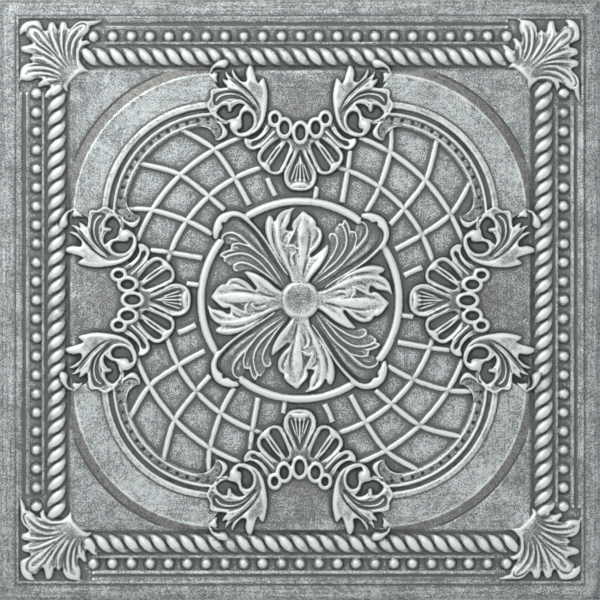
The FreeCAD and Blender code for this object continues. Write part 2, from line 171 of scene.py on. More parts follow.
class Relief:
    """The height of the pressed face over an even grid, in millimetres above the flange."""

    RUN_OUT = 0.3
    TIP = 0.15
    TAPER = 0.7
    TOUCHED = 0.25

    def __init__(self, side: float, step: float) -> None:
        """Lays out a flat grid.

        Args:
            side: The tile's side in millimetres.
            step: The grid's spacing in millimetres.
        """
        self.count = 2 * round(side / step / 2) + 1
        self.unit = side / DRAWING_SIDE
        self.axis = np.linspace(-side / 2, side / 2, self.count)
        self.step = self.axis[1] - self.axis[0]
        self.x = self.axis[None, :] / self.unit + CENTRE_X
        self.y = CENTRE_Y - self.axis[:, None] / self.unit
        self.z = np.zeros((self.count, self.count))
        self.ground = self.z.copy()
        self.wash = self.z.copy()
        self.rub = self.z.copy()
        self.curl = self.z.copy()

    def inset(self) -> np.ndarray:
        """The distance in from the nearest side, in drawing units."""
        return DRAWING_SIDE / 2 - np.maximum(np.abs(self.x - CENTRE_X), np.abs(CENTRE_Y - self.y))

    def beside(self) -> np.ndarray:
        """The distance from the nearer of the tile's two axes, in drawing units."""
        return np.minimum(np.abs(self.x - CENTRE_X), np.abs(CENTRE_Y - self.y))

    def away(self) -> np.ndarray:
        """The distance from the tile's middle, in drawing units."""
        return np.hypot(self.x - CENTRE_X, CENTRE_Y - self.y)

    def settle(self) -> None:
        """Takes the face as it is now as the ground of the strokes that follow."""
        self.ground = self.z.copy()

    def window(self, line: np.ndarray, reach: float) -> tuple[slice, slice]:
        """The part of the grid near a line.

        Args:
            line: The line in drawing units.
            reach: How far round it to go.

        Returns:
            Rows and columns.
        """
        low, high = line.min(axis=0) - reach, line.max(axis=0) + reach
        pitch = self.step / self.unit
        columns = np.clip((np.array([low[0], high[0]]) - self.x[0, 0]) / pitch, 0, self.count - 1)
        rows = np.clip((self.y[0, 0] - np.array([high[1], low[1]])) / pitch, 0, self.count - 1)
        return (slice(int(rows[0]), int(rows[1]) + 2), slice(int(columns[0]), int(columns[1]) + 2))

    def nearest(self, line: np.ndarray, rows: slice, columns: slice) -> tuple[np.ndarray, np.ndarray]:
        """The distance to a line, and how far along it that is.

        Args:
            line: The line in drawing units.
            rows: Rows of the grid to measure.
            columns: Columns of the grid to measure.

        Returns:
            Distances in drawing units, and places along the line from 0 to 1.
        """
        x, y = self.x[:, columns], self.y[rows, :]
        lengths = np.hypot(*np.diff(line, axis=0).T)
        whole = max(lengths.sum(), 1e-6)
        best = np.full((y.shape[0], x.shape[1]), 1e9)
        along = np.zeros_like(best)
        start = 0.0
        for (ax, ay), (bx, by), length in zip(line, line[1:], lengths):
            if length < 1e-9:
                continue
            t = np.clip(((x - ax) * (bx - ax) + (y - ay) * (by - ay)) / length**2, 0, 1)
            gap = np.hypot(x - ax - t * (bx - ax), y - ay - t * (by - ay))
            closer = gap < best
            best = np.where(closer, gap, best)
            along = np.where(closer, (start + t * length) / whole, along)
            start += length
        return best, along

    def inside(self, line: np.ndarray, rows: slice, columns: slice) -> np.ndarray:
        """Which grid points lie inside a closed line.

        Args:
            line: The outline in drawing units.
            rows: Rows of the grid to test.
            columns: Columns of the grid to test.

        Returns:
            A mask.
        """
        x, y = self.x[:, columns], self.y[rows, :]
        within = np.zeros((y.shape[0], x.shape[1]), bool)
        for (ax, ay), (bx, by) in zip(line, np.roll(line, -1, axis=0)):
            if ay == by:
                continue
            crosses = (ay > y) != (by > y)
            within ^= crosses & (x < (bx - ax) * (y - ay) / (by - ay) + ax)
        return within

    def depth(self, outline: Sequence[Point], edge: float) -> tuple[slice, slice, np.ndarray]:
        """How deep inside an outline the grid's points lie.

        Args:
            outline: The closed outline in drawing units.
            edge: The depth that counts as one.

        Returns:
            Rows and columns near the outline, and the depths there, from 0 outside to 1.
        """
        line = flowing(outline, closed=True)
        rows, columns = self.window(line, 1)
        gap, _ = self.nearest(np.vstack([line, line[:1]]), rows, columns)
        return rows, columns, np.where(self.inside(line, rows, columns), np.clip(gap / edge, 0, 1), 0)

    def lobe(self, outline: Sequence[Point], top: float, edge: float) -> None:
        """Raises the inside of an outline to a height, with a rounded edge.

        Args:
            outline: The closed outline in drawing units.
            top: The height it reaches.
            edge: How far in from the outline the rounding goes.
        """
        rows, columns, u = self.depth(outline, edge)
        here = self.z[rows, columns]
        swell = np.sqrt(1 - (1 - u) ** 2)
        self.z[rows, columns] = np.maximum(here, here + (top - here) * swell)

    def level(self, outline: Sequence[Point], top: float, edge: float) -> None:
        """Brings the inside of an outline to one height, whatever lay there before.

        Args:
            outline: The closed outline in drawing units.
            top: The height it gets.
            edge: How far in from the outline the rounding goes.
        """
        rows, columns, u = self.depth(outline, edge)
        here = self.z[rows, columns]
        self.z[rows, columns] = here + (top - here) * np.sqrt(1 - (1 - u) ** 2)

    def sink(self, outline: Sequence[Point], level: float, edge: float) -> None:
        """Lowers the inside of an outline to a level, with sloped walls.

        Args:
            outline: The closed outline in drawing units.
            level: The level of the floor.
            edge: The width of the wall.
        """
        rows, columns, u = self.depth(outline, edge)
        here = self.z[rows, columns]
        ease = u * u * (3 - 2 * u)
        self.z[rows, columns] = np.minimum(here, here + (level - here) * ease)

    def stroke(self, points: Sequence[Point], half_width: float, rise: float,
               ends: Ends = Ends.BOTH, section: Section = Section.SOFT) -> None:
        """Draws a ridge, or a groove where the rise is negative, on the settled ground.

        Args:
            points: The line in drawing units.
            half_width: Half the stroke's width.
            rise: Its height over the ground, in millimetres.
            ends: Which ends run out to nothing.
            section: Its cross section.
        """
        line = flowing(points)
        rows, columns = self.window(line, half_width + 1)
        gap, along = self.nearest(line, rows, columns)
        fade = np.ones_like(gap)
        for runs_out, share in zip(ends.value, (along, 1 - along)):
            if runs_out:
                fade = fade * np.clip(share / self.RUN_OUT, self.TIP, 1) ** self.TAPER
        u = np.clip(gap / (half_width * fade), 0, 1)
        shape = np.sqrt(1 - u * u) if section is Section.ROUND else (1 - u * u) ** 1.5
        drawn = self.ground[rows, columns] + rise * fade * shape
        here = self.z[rows, columns]
        touched = u < 1
        wanted = np.maximum(here, drawn) if rise > 0 else np.minimum(here, drawn)
        self.z[rows, columns] = np.where(touched, wanted, here)

    def ridges(self, half_width: float, rise: float, *lines: Sequence[Point], ends: Ends = Ends.BOTH) -> None:
        """Draws several ridges or grooves alike.

        Args:
            half_width: Half their width.
            rise: Their height, negative for grooves.
            lines: The lines.
            ends: Which ends run out.
        """
        for line in lines:
            self.stroke(line, half_width, rise, ends)

    def four_fold(self, before: np.ndarray) -> None:
        """Repeats what was drawn since a state of the face at all four quarter turns.

        Args:
            before: The face before the ornament was drawn once.
        """
        change = self.z - before
        self.z = before + sum(np.rot90(change, k) for k in range(4))

    def changed(self, before: np.ndarray) -> np.ndarray:
        """Where the face was changed since a state of it, at all four quarter turns.

        Args:
            before: The face as it was.

        Returns:
            A soft mask.
        """
        mask = (np.abs(self.z - before) > self.TOUCHED).astype(float)
        return self.blurred(np.maximum.reduce([np.rot90(mask, k) for k in range(4)]), 1.0)

    def blurred(self, values: np.ndarray, spread: float) -> np.ndarray:
        """Values softened over a distance.

        Args:
            values: A field on the grid.
            spread: The distance in millimetres.

        Returns:
            The softened field.
        """
        pad = int(4 * spread / self.step) + 1
        wide = np.pad(values, pad, mode="edge")
        waves = np.fft.rfft2(wide)
        down = np.fft.fftfreq(wide.shape[0], self.step)[:, None]
        across = np.fft.rfftfreq(wide.shape[1], self.step)[None, :]
        waves *= np.exp(-2 * (math.pi * spread) ** 2 * (down**2 + across**2))
        return np.fft.irfft2(waves, s=wide.shape)[pad:-pad, pad:-pad]

    def sampled(self, values: np.ndarray, x: np.ndarray, y: np.ndarray) -> np.ndarray:
        """Values read between the grid's points.

        Args:
            values: A field on the grid.
            x: Places in millimetres.
            y: Places in millimetres.

        Returns:
            The values there.
        """
        u = np.clip((x - self.axis[0]) / self.step, 0, self.count - 1.001)
        v = np.clip((y - self.axis[0]) / self.step, 0, self.count - 1.001)
        j, i = u.astype(int), v.astype(int)
        a, b = u - j, v - i
        return ((values[i, j] * (1 - a) + values[i, j + 1] * a) * (1 - b)
                + (values[i + 1, j] * (1 - a) + values[i + 1, j + 1] * a) * b)


class Tree:
    """A Geometry Nodes tree under construction."""

    KINDS = {float: "NodeSocketFloat", int: "NodeSocketInt", bpy.types.Object: "NodeSocketObject",
             bpy.types.Material: "NodeSocketMaterial"}

    def __init__(self, name: str, sizes: dict[str, Any]) -> None:
        """Starts a tree with named inputs.

        Args:
            name: The tree's name.
            sizes: Its inputs and the values they take.
        """
        self.group = bpy.data.node_groups.new(name, "GeometryNodeTree")
        self.sizes = sizes
        face = self.group.interface
        face.new_socket("Geometry", in_out="INPUT", socket_type="NodeSocketGeometry")
        for key, value in sizes.items():
            kind = next(kind for cls, kind in self.KINDS.items() if isinstance(value, cls))
            face.new_socket(key, in_out="INPUT", socket_type=kind)
        face.new_socket("Geometry", in_out="OUTPUT", socket_type="NodeSocketGeometry")
        self.entry = self.group.nodes.new("NodeGroupInput")

    def size(self, name: str) -> bpy.types.NodeSocket:
        """The socket of a named input."""
        return self.entry.outputs[name]

    def node(self, kind: str, settings: dict[str, Any], inputs: dict[Any, Any]) -> bpy.types.Node:
        """Adds a node.

        Args:
            kind: The node's type.
            settings: Properties set first.
            inputs: Values or links of its sockets, by name or place.

        Returns:
            The node.
        """
        made = self.group.nodes.new(kind)
        for key, value in settings.items():
            setattr(made, key, value)
        for key, value in inputs.items():
            for one in value if isinstance(value, list) else [value]:
                if isinstance(one, bpy.types.NodeSocket):
                    self.group.links.new(one, made.inputs[key])
                else:
                    made.inputs[key].default_value = one
        return made

    def maths(self, operation: str, a: Any, b: Any) -> bpy.types.NodeSocket:
        """One sum of two values.

        Args:
            operation: The Math node's operation.
            a: A value or socket.
            b: A value or socket.

        Returns:
            The result's socket.
        """
        return self.node("ShaderNodeMath", {"operation": operation}, {0: a, 1: b}).outputs[0]

    def quarter_turns(self, geometry: bpy.types.NodeSocket) -> bpy.types.NodeSocket:
        """Repeats geometry at the four quarter turns about the tile's middle.

        Args:
            geometry: What to repeat.

        Returns:
            Instances of it.
        """
        points = self.node("GeometryNodePoints", {}, {"Count": 4})
        index = self.node("GeometryNodeInputIndex", {}, {}).outputs[0]
        turn = self.node("ShaderNodeCombineXYZ", {}, {"Z": self.maths("MULTIPLY", index, math.pi / 2)})
        angle = self.node("FunctionNodeEulerToRotation", {}, {0: turn.outputs[0]})
        placed = self.node("GeometryNodeInstanceOnPoints", {}, {
            "Points": points.outputs[0], "Instance": geometry, "Rotation": angle.outputs[0]})
        return placed.outputs[0]

    def close(self, geometry: bpy.types.NodeSocket) -> None:
        """Ends the tree in plain geometry with the tile's material.

        Args:
            geometry: The last geometry.
        """
        solid = self.node("GeometryNodeRealizeInstances", {}, {"Geometry": geometry})
        dressed = self.node("GeometryNodeSetMaterial", {}, {
            "Geometry": solid.outputs[0], "Material": self.size("Material")})
        leave = self.group.nodes.new("NodeGroupOutput")
        self.group.links.new(dressed.outputs[0], leave.inputs[0])

    def run(self, host: bpy.types.Object) -> bpy.types.Mesh:
        """Runs the tree on an object and makes its result a plain mesh.

        Args:
            host: The object that carries the modifier.

        Returns:
            The new mesh.
        """
        modifier = host.modifiers.new(self.group.name, "NODES")
        modifier.node_group = self.group
        for item in self.group.interface.items_tree:
            if item.in_out == "INPUT" and item.name in self.sizes:
                modifier[item.identifier] = self.sizes[item.name]
        host.update_tag()
        bpy.context.view_layer.update()
        graph = bpy.context.evaluated_depsgraph_get()
        mesh = bpy.data.meshes.new_from_object(host.evaluated_get(graph))
        host.modifiers.remove(modifier)
        return mesh


def linked(name: str, mesh: bpy.types.ID) -> bpy.types.Object:
    """A new object in the scene.

    Args:
        name: Its name.
        mesh: Its data.

    Returns:
        The object.
    """
    made = bpy.data.objects.new(name, mesh)
    bpy.context.scene.collection.objects.link(made)
    return made


@dataclass
class Border:
    """The flange, rail, fillets, bead channel and the bed of the rope, by distance in from the edge."""

    rail: float = 1.8
    lip: float = 2.3
    groove: float = 0.5
    fillet: float = 2.1
    channel: float = 0.8
    rope_bed: float = 2.5
    field: float = 2.4
    pocket_along_top: float = 105.0
    pocket_along_left: float = 92.0
    pocket_arm: float = 46.5
    pocket_side: float = 82.0
    pocket_start: float = 19.0
    rope_end: float = 66.0

    def draw(self, relief: Relief) -> None:
        """Draws the border on a flat face.

        Args:
            relief: The face.
        """
        inset = relief.inset()
        steps = [(0, 0), (15.4, 0), (16.6, self.lip), (17.8, self.lip), (18.8, self.rail), (21.8, self.rail),
                 (23.0, self.groove), (25.3, self.groove), (26.2, self.fillet), (27.8, self.fillet),
                 (29.0, self.channel), (41.6, self.channel), (42.7, self.fillet), (44.0, self.fillet),
                 (45.2, self.groove), (47.4, self.groove), (48.5, 0.9), (51.5, self.rope_bed - 0.6),
                 (56.6, self.rope_bed), (61.7, self.rope_bed - 0.6), (64.8, 0.9), (66.6, self.groove),
                 (68.2, self.groove), (72.0, self.field), (300, self.field)]
        relief.z = read(steps, inset)
        before = relief.z.copy()
        corner = ((relief.x < self.pocket_along_top) & (relief.y < self.pocket_arm)
                  | (relief.x < self.pocket_arm) & (relief.y < self.pocket_along_left)
                  | (relief.x < self.pocket_side) & (relief.y < self.pocket_side) & (inset < self.rope_end))
        floor = np.where(corner & (inset > self.pocket_start), self.groove, relief.z)
        relief.z = np.where(corner, np.minimum(relief.z, floor), relief.z)
        relief.four_fold(before)


@dataclass
class Quatrefoil:
    """The four lobes: cove, plateau, light ring, thin ridge and dotted band about each lobe's middle."""

    offset: float = 84.8
    plateau: float = 4.6
    ring: float = 5.9
    ridge: float = 5.7
    band: float = 4.2
    gap: float = 3.3
    floor: float = 1.8
    spandrel: float = 2.4
    field_start: float = 70.2
    lattice_edge: float = 86.0
    panel_half: float = 46.0
    panel_fade: float = 8.0
    panel_start: float = 68.8
    panel_rise: float = 2.6
    panel_curve: float = 52.0
    curl_dot: float = 1.9
    curl_dots: tuple[Point, ...] = ((198, 121.2), (208, 123), (216, 129.8))

    CURL_FLOOR = trace(197, 117.8, 204, 118.2, 210, 119.8, 215.5, 122.5, 219.5, 126.5, 221.3, 131, 220.5, 135,
        217.5, 139, 214.8, 140.3, 214.3, 137, 212, 132.5, 208, 129, 203, 127.3, 197, 126.6)
    CURL_RIM = trace(214.5, 119.2, 218, 120.5, 222, 124, 225.5, 128, 227.8, 132.3, 226.5, 136, 223, 139, 218.5, 140.8,
        214.3, 140.8, 217.8, 138.6, 220.4, 135.2, 221.3, 131, 219.6, 126.6, 217.5, 123)
    CURL_LINE = trace(197, 126.4, 203.5, 127, 208.7, 128.8, 212.4, 132.4, 214.3, 137, 214.6, 140)

    def draw(self, relief: Relief) -> None:
        """Draws the lobes on the bordered face.

        Args:
            relief: The face.
        """
        radius = self.radius(relief)
        steps = [(-90, self.floor), (88.4, self.floor), (91.4, self.band), (92.0, self.ridge - 0.6),
            (92.5, self.ridge - 0.6), (93.3, self.band), (98.8, self.band - 0.3), (100.6, self.ridge),
            (101.8, self.ridge), (103.0, self.gap), (106.3, self.gap), (107.7, self.ring), (112.5, self.ring),
            (113.7, self.plateau - 0.15), (116.5, self.plateau), (139.6, self.plateau), (140.5, self.plateau + 0.35),
            (141.3, self.plateau - 0.1), (143.0, self.spandrel + 1.0), (149.6, self.spandrel - 0.1),
            (151.0, self.spandrel - 1.3), (152.2, self.spandrel), (400, self.spandrel)]
        inset, beside = relief.inset(), relief.beside()
        relief.z = np.where(inset > self.field_start, read(steps, radius), relief.z)
        panel = np.clip((self.panel_half - beside) / self.panel_fade, 0, 1) * (radius > self.lattice_edge)
        panel = panel * np.clip((inset - self.panel_start) / 3, 0, 1)
        pillow = self.spandrel + self.panel_rise * np.clip(1 - (beside / self.panel_curve) ** 2, 0, 1)
        relief.z = relief.z + panel * (pillow - relief.z)

    def radius(self, relief: Relief) -> np.ndarray:
        """The distance from a lobe's middle, or from the lines that join the lobes where they meet.

        Args:
            relief: The face.

        Returns:
            Distances in drawing units.
        """
        u = np.abs(relief.x - CENTRE_X) - self.offset + 0 * relief.y
        v = np.abs(CENTRE_Y - relief.y) - self.offset + 0 * relief.x
        return np.where((u > 0) & (v > 0), np.hypot(np.maximum(u, 0), np.maximum(v, 0)), np.maximum(u, v))

    def curls(self, relief: Relief) -> None:
        """Draws the curled ends of the dotted band in one quarter.

        Args:
            relief: The face.
        """
        for side in (list, self.swapped):
            relief.level(side(self.CURL_FLOOR), self.band, 0.9)
            relief.lobe(side(self.CURL_RIM), self.ring, 2.0)
            for x, y in self.curl_dots:
                relief.sink(side(ellipse(x, y, self.curl_dot, self.curl_dot)), self.band - 1.0, 1.6)
            relief.settle()
            relief.stroke(side(self.CURL_LINE), 1.1, 1.3)

    def swapped(self, points: Sequence[Point]) -> list[Point]:
        """Points mirrored about the diagonal of the upper left quarter."""
        return [(y + CENTRE_X - CENTRE_Y, x + CENTRE_Y - CENTRE_X) for x, y in points]


@dataclass
class CentreRing:
    """The half-round ring about the rosette and the sunk floor inside it."""

    radius: float = 98.9
    half_width: float = 4.25
    floor: float = 1.5
    foot: float = 1.8
    top: float = 5.4

    def draw(self, relief: Relief) -> None:
        """Draws the ring.

        Args:
            relief: The face.
        """
        away = relief.away()
        relief.z = np.where(away < self.radius, np.minimum(relief.z, self.floor), relief.z)
        u = np.clip(np.abs(away - self.radius) / self.half_width, 0, 1)
        relief.z = np.maximum(relief.z, np.where(u < 1, self.foot + (self.top - self.foot) * np.sqrt(1 - u * u), 0))


@dataclass
class CornerLeaf:
    """The acanthus leaf over the mitre of one corner."""

    body: float = 5.2
    swell: float = 2.0
    line: float = 1.0
    cut: float = 1.5

    OUTLINE = trace(20, 35, 19, 31, 21, 26, 26, 22, 33, 20.5, 39, 21, 41.5, 25, 44, 30, 46.5, 29, 48, 24, 51, 22,
        54, 22.5, 56, 26, 58, 29, 59.5, 24, 62, 21.5, 66, 22.5, 68, 27, 70, 28, 76, 23, 82, 21, 92, 20.6, 103, 20,
        100, 22.5, 95, 25, 90, 27, 89, 30, 86.5, 34, 84, 37, 83, 40.5, 86.5, 40, 90, 43.5, 85, 46, 81.5, 51, 80.5, 57,
        81, 62, 86, 69, 88, 71, 80, 73, 75, 77, 71, 81, 68, 87, 67, 92, 60, 88, 56, 91, 51, 96, 47, 98.5, 44, 97,
        46, 92, 50, 87.5, 45, 86, 39, 87.5, 37.5, 84, 41, 79.5, 36, 78.5, 31, 80.7, 26, 81.3, 21, 80.5, 18.7, 83,
        19, 78, 20, 72, 22, 67, 27, 63.5, 31.5, 62.3, 29, 59, 31, 55, 23, 52.5, 20.3, 49, 22, 46, 30, 44, 31.5, 42,
        26, 36.5, 25, 33)
    SPINE = trace(28, 28, 44, 45, 60, 62, 74, 76)
    RIDGES = (
        trace(46, 51, 40, 45, 33, 37, 32, 34, 33, 31, 36, 31, 39, 33, 45, 41, 52, 49),
        trace(20, 35, 19.8, 31, 22, 26.5, 26.5, 23, 33, 21.5, 38.5, 22.5, 41.5, 26.5, 44, 31),
        trace(67, 57, 66, 50, 67, 43, 70, 36, 75, 30, 80, 26.5, 84, 26, 84, 29, 79, 34, 74, 41, 72, 48, 71.5, 55,
            73, 62),
        trace(70, 28, 76, 23.5, 82, 22, 87, 23.5, 88.5, 27.5, 87, 32, 83, 37),
        trace(79, 66, 77, 56, 78, 50, 83, 42.5, 86, 41.5, 89, 43.5),
        trace(32, 63, 27, 64, 22.5, 67.5, 20.7, 72, 20, 78),
        trace(24, 73, 28, 69.5, 36, 68, 45, 68.5, 53, 71, 60, 75, 65, 79),
        trace(27, 77, 32, 74.5, 40, 73.5, 48, 74.5, 56, 77),
        trace(57, 85, 50, 88.5, 46.5, 92, 45, 97),
        trace(51, 24, 52, 34, 56, 46, 61, 56),
        trace(63.5, 24, 61.5, 36, 62, 48, 65, 58),
        trace(24, 49, 34, 48, 46, 54, 56, 60),
        trace(31, 58.5, 42, 59, 52, 64, 62, 70),
        trace(40, 84, 48, 80, 58, 80))
    CUTS = (
        trace(46, 53, 38, 45, 29.5, 37.5, 27.5, 33, 29, 28.5, 33, 27.3, 38, 28.5, 43, 33, 48, 40, 54, 50),
        trace(34, 34, 40, 41, 48, 48, 57, 57, 65, 66, 70, 72),
        trace(47, 30, 50, 39, 54, 49, 60, 58),
        trace(58, 27, 58, 38, 61, 52, 66, 64),
        trace(67.5, 27, 64, 42, 65, 56, 69, 67),
        trace(70, 60, 69, 50, 70, 44, 73, 38, 77.5, 32, 81, 29),
        trace(76.5, 66, 75, 54, 75.5, 47, 78, 41, 82, 36.5, 86, 32),
        trace(71, 31, 76, 26.5, 82, 24, 86, 25.5, 86, 29.5),
        trace(33, 43, 40, 47, 48, 52.5, 56, 59),
        trace(31, 54, 40, 54.5, 47, 57, 55, 63, 64, 70),
        trace(31, 62, 40, 63.5, 50, 66.5, 60, 72),
        trace(23, 70, 28, 67, 36, 65.5, 45, 66, 54, 69, 62, 74),
        trace(25, 75, 30, 72, 38, 71, 48, 72, 56, 74.5, 63, 78),
        trace(28, 79, 34, 77, 42, 76, 50, 77, 57, 79.5),
        trace(47, 86, 53, 83, 61, 82))
    LIP = trace(88, 71, 80, 72.5, 75, 76.5, 71, 81, 68.5, 86, 67, 91)
    LEFT_TAIL = trace(63, 87, 58, 91, 53, 97)
    RIGHT_TAIL = trace(83, 60, 90, 62, 97, 66)

    def draw(self, relief: Relief) -> None:
        """Draws the leaf of the upper left corner.

        Args:
            relief: The face.
        """
        relief.lobe(self.OUTLINE, self.body, 3.4)
        relief.settle()
        relief.stroke(self.SPINE, 17, self.swell, Ends.FIRST)
        relief.settle()
        relief.ridges(1.7, self.line, *self.RIDGES)
        relief.ridges(1.3, -self.cut, *self.CUTS)
        relief.settle()
        relief.stroke(self.LIP, 2.6, 1.0)
        relief.stroke(self.LEFT_TAIL, 2.2, 1.2)
        relief.stroke(self.RIGHT_TAIL, 2.4, 1.0)


@dataclass
class Cartouche:
    """The pair of leafy scrolls on one side of the field, which carry the fluted shell."""

    body: float = 6.0
    line: float = 1.5
    pocket: float = 2.2
    trough: float = 3.0
    knob: float = 8.6
    collar: float = 7.6
    collar_width: float = 4.3
    ovals: tuple[tuple[float, float, float, float], ...] = ((299.9, 132.8, 5, 8), (284, 128, 4.7, 6.8),
        (274.5, 119, 3.5, 4.6), (315.2, 128, 4.7, 6.8), (324.8, 119, 3.5, 4.6))

    HOLLOW = trace(213, 77, 217, 71, 225, 69.5, 232, 67, 240, 66.5, 247, 66.5, 247.5, 80, 243, 84, 236, 87, 228, 89,
        219, 89, 214.5, 84)
    LEAF = trace(222, 79, 224, 84, 226, 87, 218, 88.5, 212, 89.5, 210, 92, 210.5, 97, 208.5, 101, 206.5, 106,
        208, 110.5, 211.5, 115, 215.5, 119, 221, 121.5, 226, 121, 229, 123, 229, 128, 231.5, 132.5, 236, 136,
        242, 137.5, 249, 136, 257, 131.5, 262.5, 124, 266, 112, 267.5, 97, 266, 86, 263.3, 78.5, 260, 80.5, 258, 83,
        256, 79.5, 254, 73, 252.5, 67.5, 250, 65.7, 247, 67.5, 245.2, 74, 246, 81, 241, 81.5, 236, 76, 232.3, 69.5,
        231, 73, 232.5, 78, 228, 75, 225.3, 71.5, 225.5, 76, 227, 80)
    TOP_KNOB = trace(209.3, 73, 210.3, 68, 214, 64, 219, 60.5, 225, 59.3, 228.4, 62, 227.5, 66, 224, 68.7, 218, 68,
        213.5, 69.3, 211.3, 72)
    TOP_TAIL = trace(208.8, 72, 209.3, 76, 212, 79.2, 217, 83.5, 216.5, 78, 217.3, 73.8, 213.5, 73, 211, 75)
    SHOULDER = trace(224, 82, 232, 86.5, 242, 92)
    BROAD_TROUGH = trace(211.8, 101, 212.3, 96, 216, 92.4, 224, 90.3, 233, 90.6, 241, 93, 247.5, 97.3, 253, 103,
        256.8, 109, 256, 112.5, 252, 110, 247, 105.3, 241, 101, 233, 99.6, 226, 100.5, 221.5, 103, 218, 106,
        213.5, 106)
    LONG_TROUGH = trace(224, 75.5, 230, 81, 238, 86.5, 246, 93, 252, 99.5, 257, 107.5, 259.3, 113, 258, 104,
        253.5, 96.5, 247, 89.5, 240.5, 82.5, 234, 77.5, 228.5, 73)
    POCKETS = (
        trace(215.5, 114, 217.5, 108.8, 222, 105.3, 227, 105.2, 228.6, 110.5, 230.2, 110.5, 231.5, 107, 235, 104.3,
            240, 103, 245, 104.8, 243, 108, 240.3, 111.5, 239, 116, 236, 118.8, 231, 120, 227, 121.5, 221, 119.8),
        trace(241, 114, 243, 111.8, 247.5, 110.8, 251.5, 113.3, 253.7, 118, 253.5, 124.5, 250.5, 129.5, 245, 133,
            239, 134, 236.5, 132, 237, 129.8, 240, 127.5, 240.7, 124, 240, 119))
    TROUGH_RIB = trace(216, 101, 219, 97.3, 224, 95, 231.5, 94.3, 239, 96, 245.5, 99.7, 251, 104.5, 255, 110.5)
    SCROLL_LINES = (
        trace(209, 107, 212.5, 110.5, 216, 108.3, 220, 104.8, 225, 102.8, 229.5, 103.7, 235, 101.6, 241, 101.2,
            246, 104.2),
        trace(230, 128, 232, 132, 236, 135, 242, 136.3, 248.5, 135, 255, 131, 260, 124.5, 262.3, 117),
        trace(240.3, 114.5, 242.5, 111, 247.5, 109.5, 252, 112, 254.8, 117.5, 254.8, 124.5, 251.3, 130.3, 245.5, 134,
            239.5, 135),
        trace(225.6, 72.5, 230, 78, 236.5, 83.7, 243.5, 89.5, 250, 96, 255, 102.5, 258.5, 110, 260, 117),
        trace(224.5, 75, 229, 80.5, 235.5, 86.5, 242.5, 92.3, 249, 99, 254, 105.5, 257, 112),
        trace(222.5, 80, 225, 84.5, 229, 87.7, 236, 89.5, 243.5, 93, 250, 98.5),
        trace(224, 88.6, 213, 90.5, 211, 94, 211.5, 98, 209, 102, 208, 106.5, 211, 113, 216.5, 119))
    POCKET_POST = trace(229.3, 103.5, 229.4, 107, 229.6, 112)
    LEAF_RIB = trace(232.3, 70.5, 236, 77, 242, 83, 249, 90)
    OUTER_LEAF = trace(245.2, 74, 247, 67.5, 250, 65.7, 252.5, 67.5, 254, 73, 256, 79.5, 258, 83, 260, 80.5,
        263.3, 78.5, 266, 86, 267.5, 97, 266, 112, 262.5, 124, 257, 131.5, 253, 133, 258, 124, 260.3, 115,
        259.3, 107.5, 255, 99.5, 249, 92, 243, 86, 241.5, 82.5, 246, 81)
    VOLUTE_BALL = trace(229.3, 126, 231, 121.8, 235, 119.8, 238.8, 121, 240.4, 124.5, 239.3, 127.5, 236.8, 129.6,
        236.8, 132.5, 233, 132, 230.3, 129.5)
    SIDE_WING = trace(262, 131, 268, 122, 275, 124, 290, 138, 302, 142, 302, 152, 290, 152, 280, 160, 262, 150,
        258, 148.8, 254, 150.3, 249, 149.8, 245.5, 146.5, 243.5, 142, 245, 138, 251, 139, 257, 136.5)
    WING = trace(276, 136, 262, 147.5, 257.6, 152.5, 256.5, 158, 258.5, 163.5, 264, 170, 270, 174, 276.5, 175,
        282, 173, 287, 166, 293, 152, 291, 141)
    MIDDLE_FLUTE = trace(294, 144, 291.5, 151, 287.5, 160, 284, 170, 283.2, 177, 284.5, 183, 288, 188, 293, 190.5,
        300, 191.2, 306.4, 190.5, 311.4, 188, 314.9, 183, 316.2, 177, 315.4, 170, 311.9, 160, 307.9, 151, 305.4, 144)
    UPPER_TROUGH = trace(279, 137.5, 270, 143.5, 262.5, 151, 259.5, 156, 260, 161, 263.5, 163, 266.5, 161.5, 271, 155,
        277, 147.5, 281.5, 142)
    LOWER_TROUGH = trace(286, 141.5, 289.5, 144, 290, 148, 287, 156, 283, 165, 279, 171.5, 274, 173, 270, 171.5,
        268.5, 167, 272.5, 160, 278.5, 151, 283.5, 144)
    SIDE_TROUGH = trace(250, 145.5, 254, 147, 259, 143.8, 265, 138, 271, 131, 273, 127, 270, 126.5, 266, 132.5,
        260, 138, 252, 141)
    MIDDLE_TROUGH = trace(297.5, 150, 293, 160, 289, 170, 287, 177, 288, 182, 291, 183.5, 295, 181.5, 300, 180.5,
        304.4, 181.5, 308.4, 183.5, 311.4, 182, 312.4, 177, 310.4, 170, 306.4, 160, 301.9, 150)
    FLUTE_LINES = (
        trace(292.5, 148, 288, 158, 283.5, 169),
        trace(296, 148, 291, 160, 286, 171, 285.5, 177),
        trace(279.5, 143, 273, 152, 266.5, 162),
        trace(283, 144, 276, 154, 268.5, 165),
        trace(275, 136, 268, 143, 260, 150),
        trace(252, 139.5, 257, 137.5, 261, 134, 265, 128, 266.5, 125),
        trace(252, 141.5, 258, 139.5, 263, 135.5, 268, 129))
    WING_RIMS = (
        trace(244.5, 139, 244.8, 143, 247.5, 147, 251, 149, 256, 148.5, 262, 144.5, 268, 138.5, 274, 132),
        trace(262, 148.5, 258.2, 153, 257.4, 158, 259.5, 163, 264, 168.8, 270, 173, 276.5, 174, 282, 171.5))
    WING_NOTCH = trace(261, 163.5, 265.5, 165.5, 268, 169, 270, 172.5)
    FLUTE_CUTS = (
        trace(294, 150, 289.5, 159, 285, 169),
        trace(281, 145, 274.5, 153.5, 267.8, 163))
    RAYS = (
        trace(299.2, 156, 297.2, 168, 295.2, 181),
        trace(297.8, 160, 294.3, 170, 291, 180))
    MIDDLE_RAY = trace(299.7, 152, 299.7, 166, 299.7, 181)
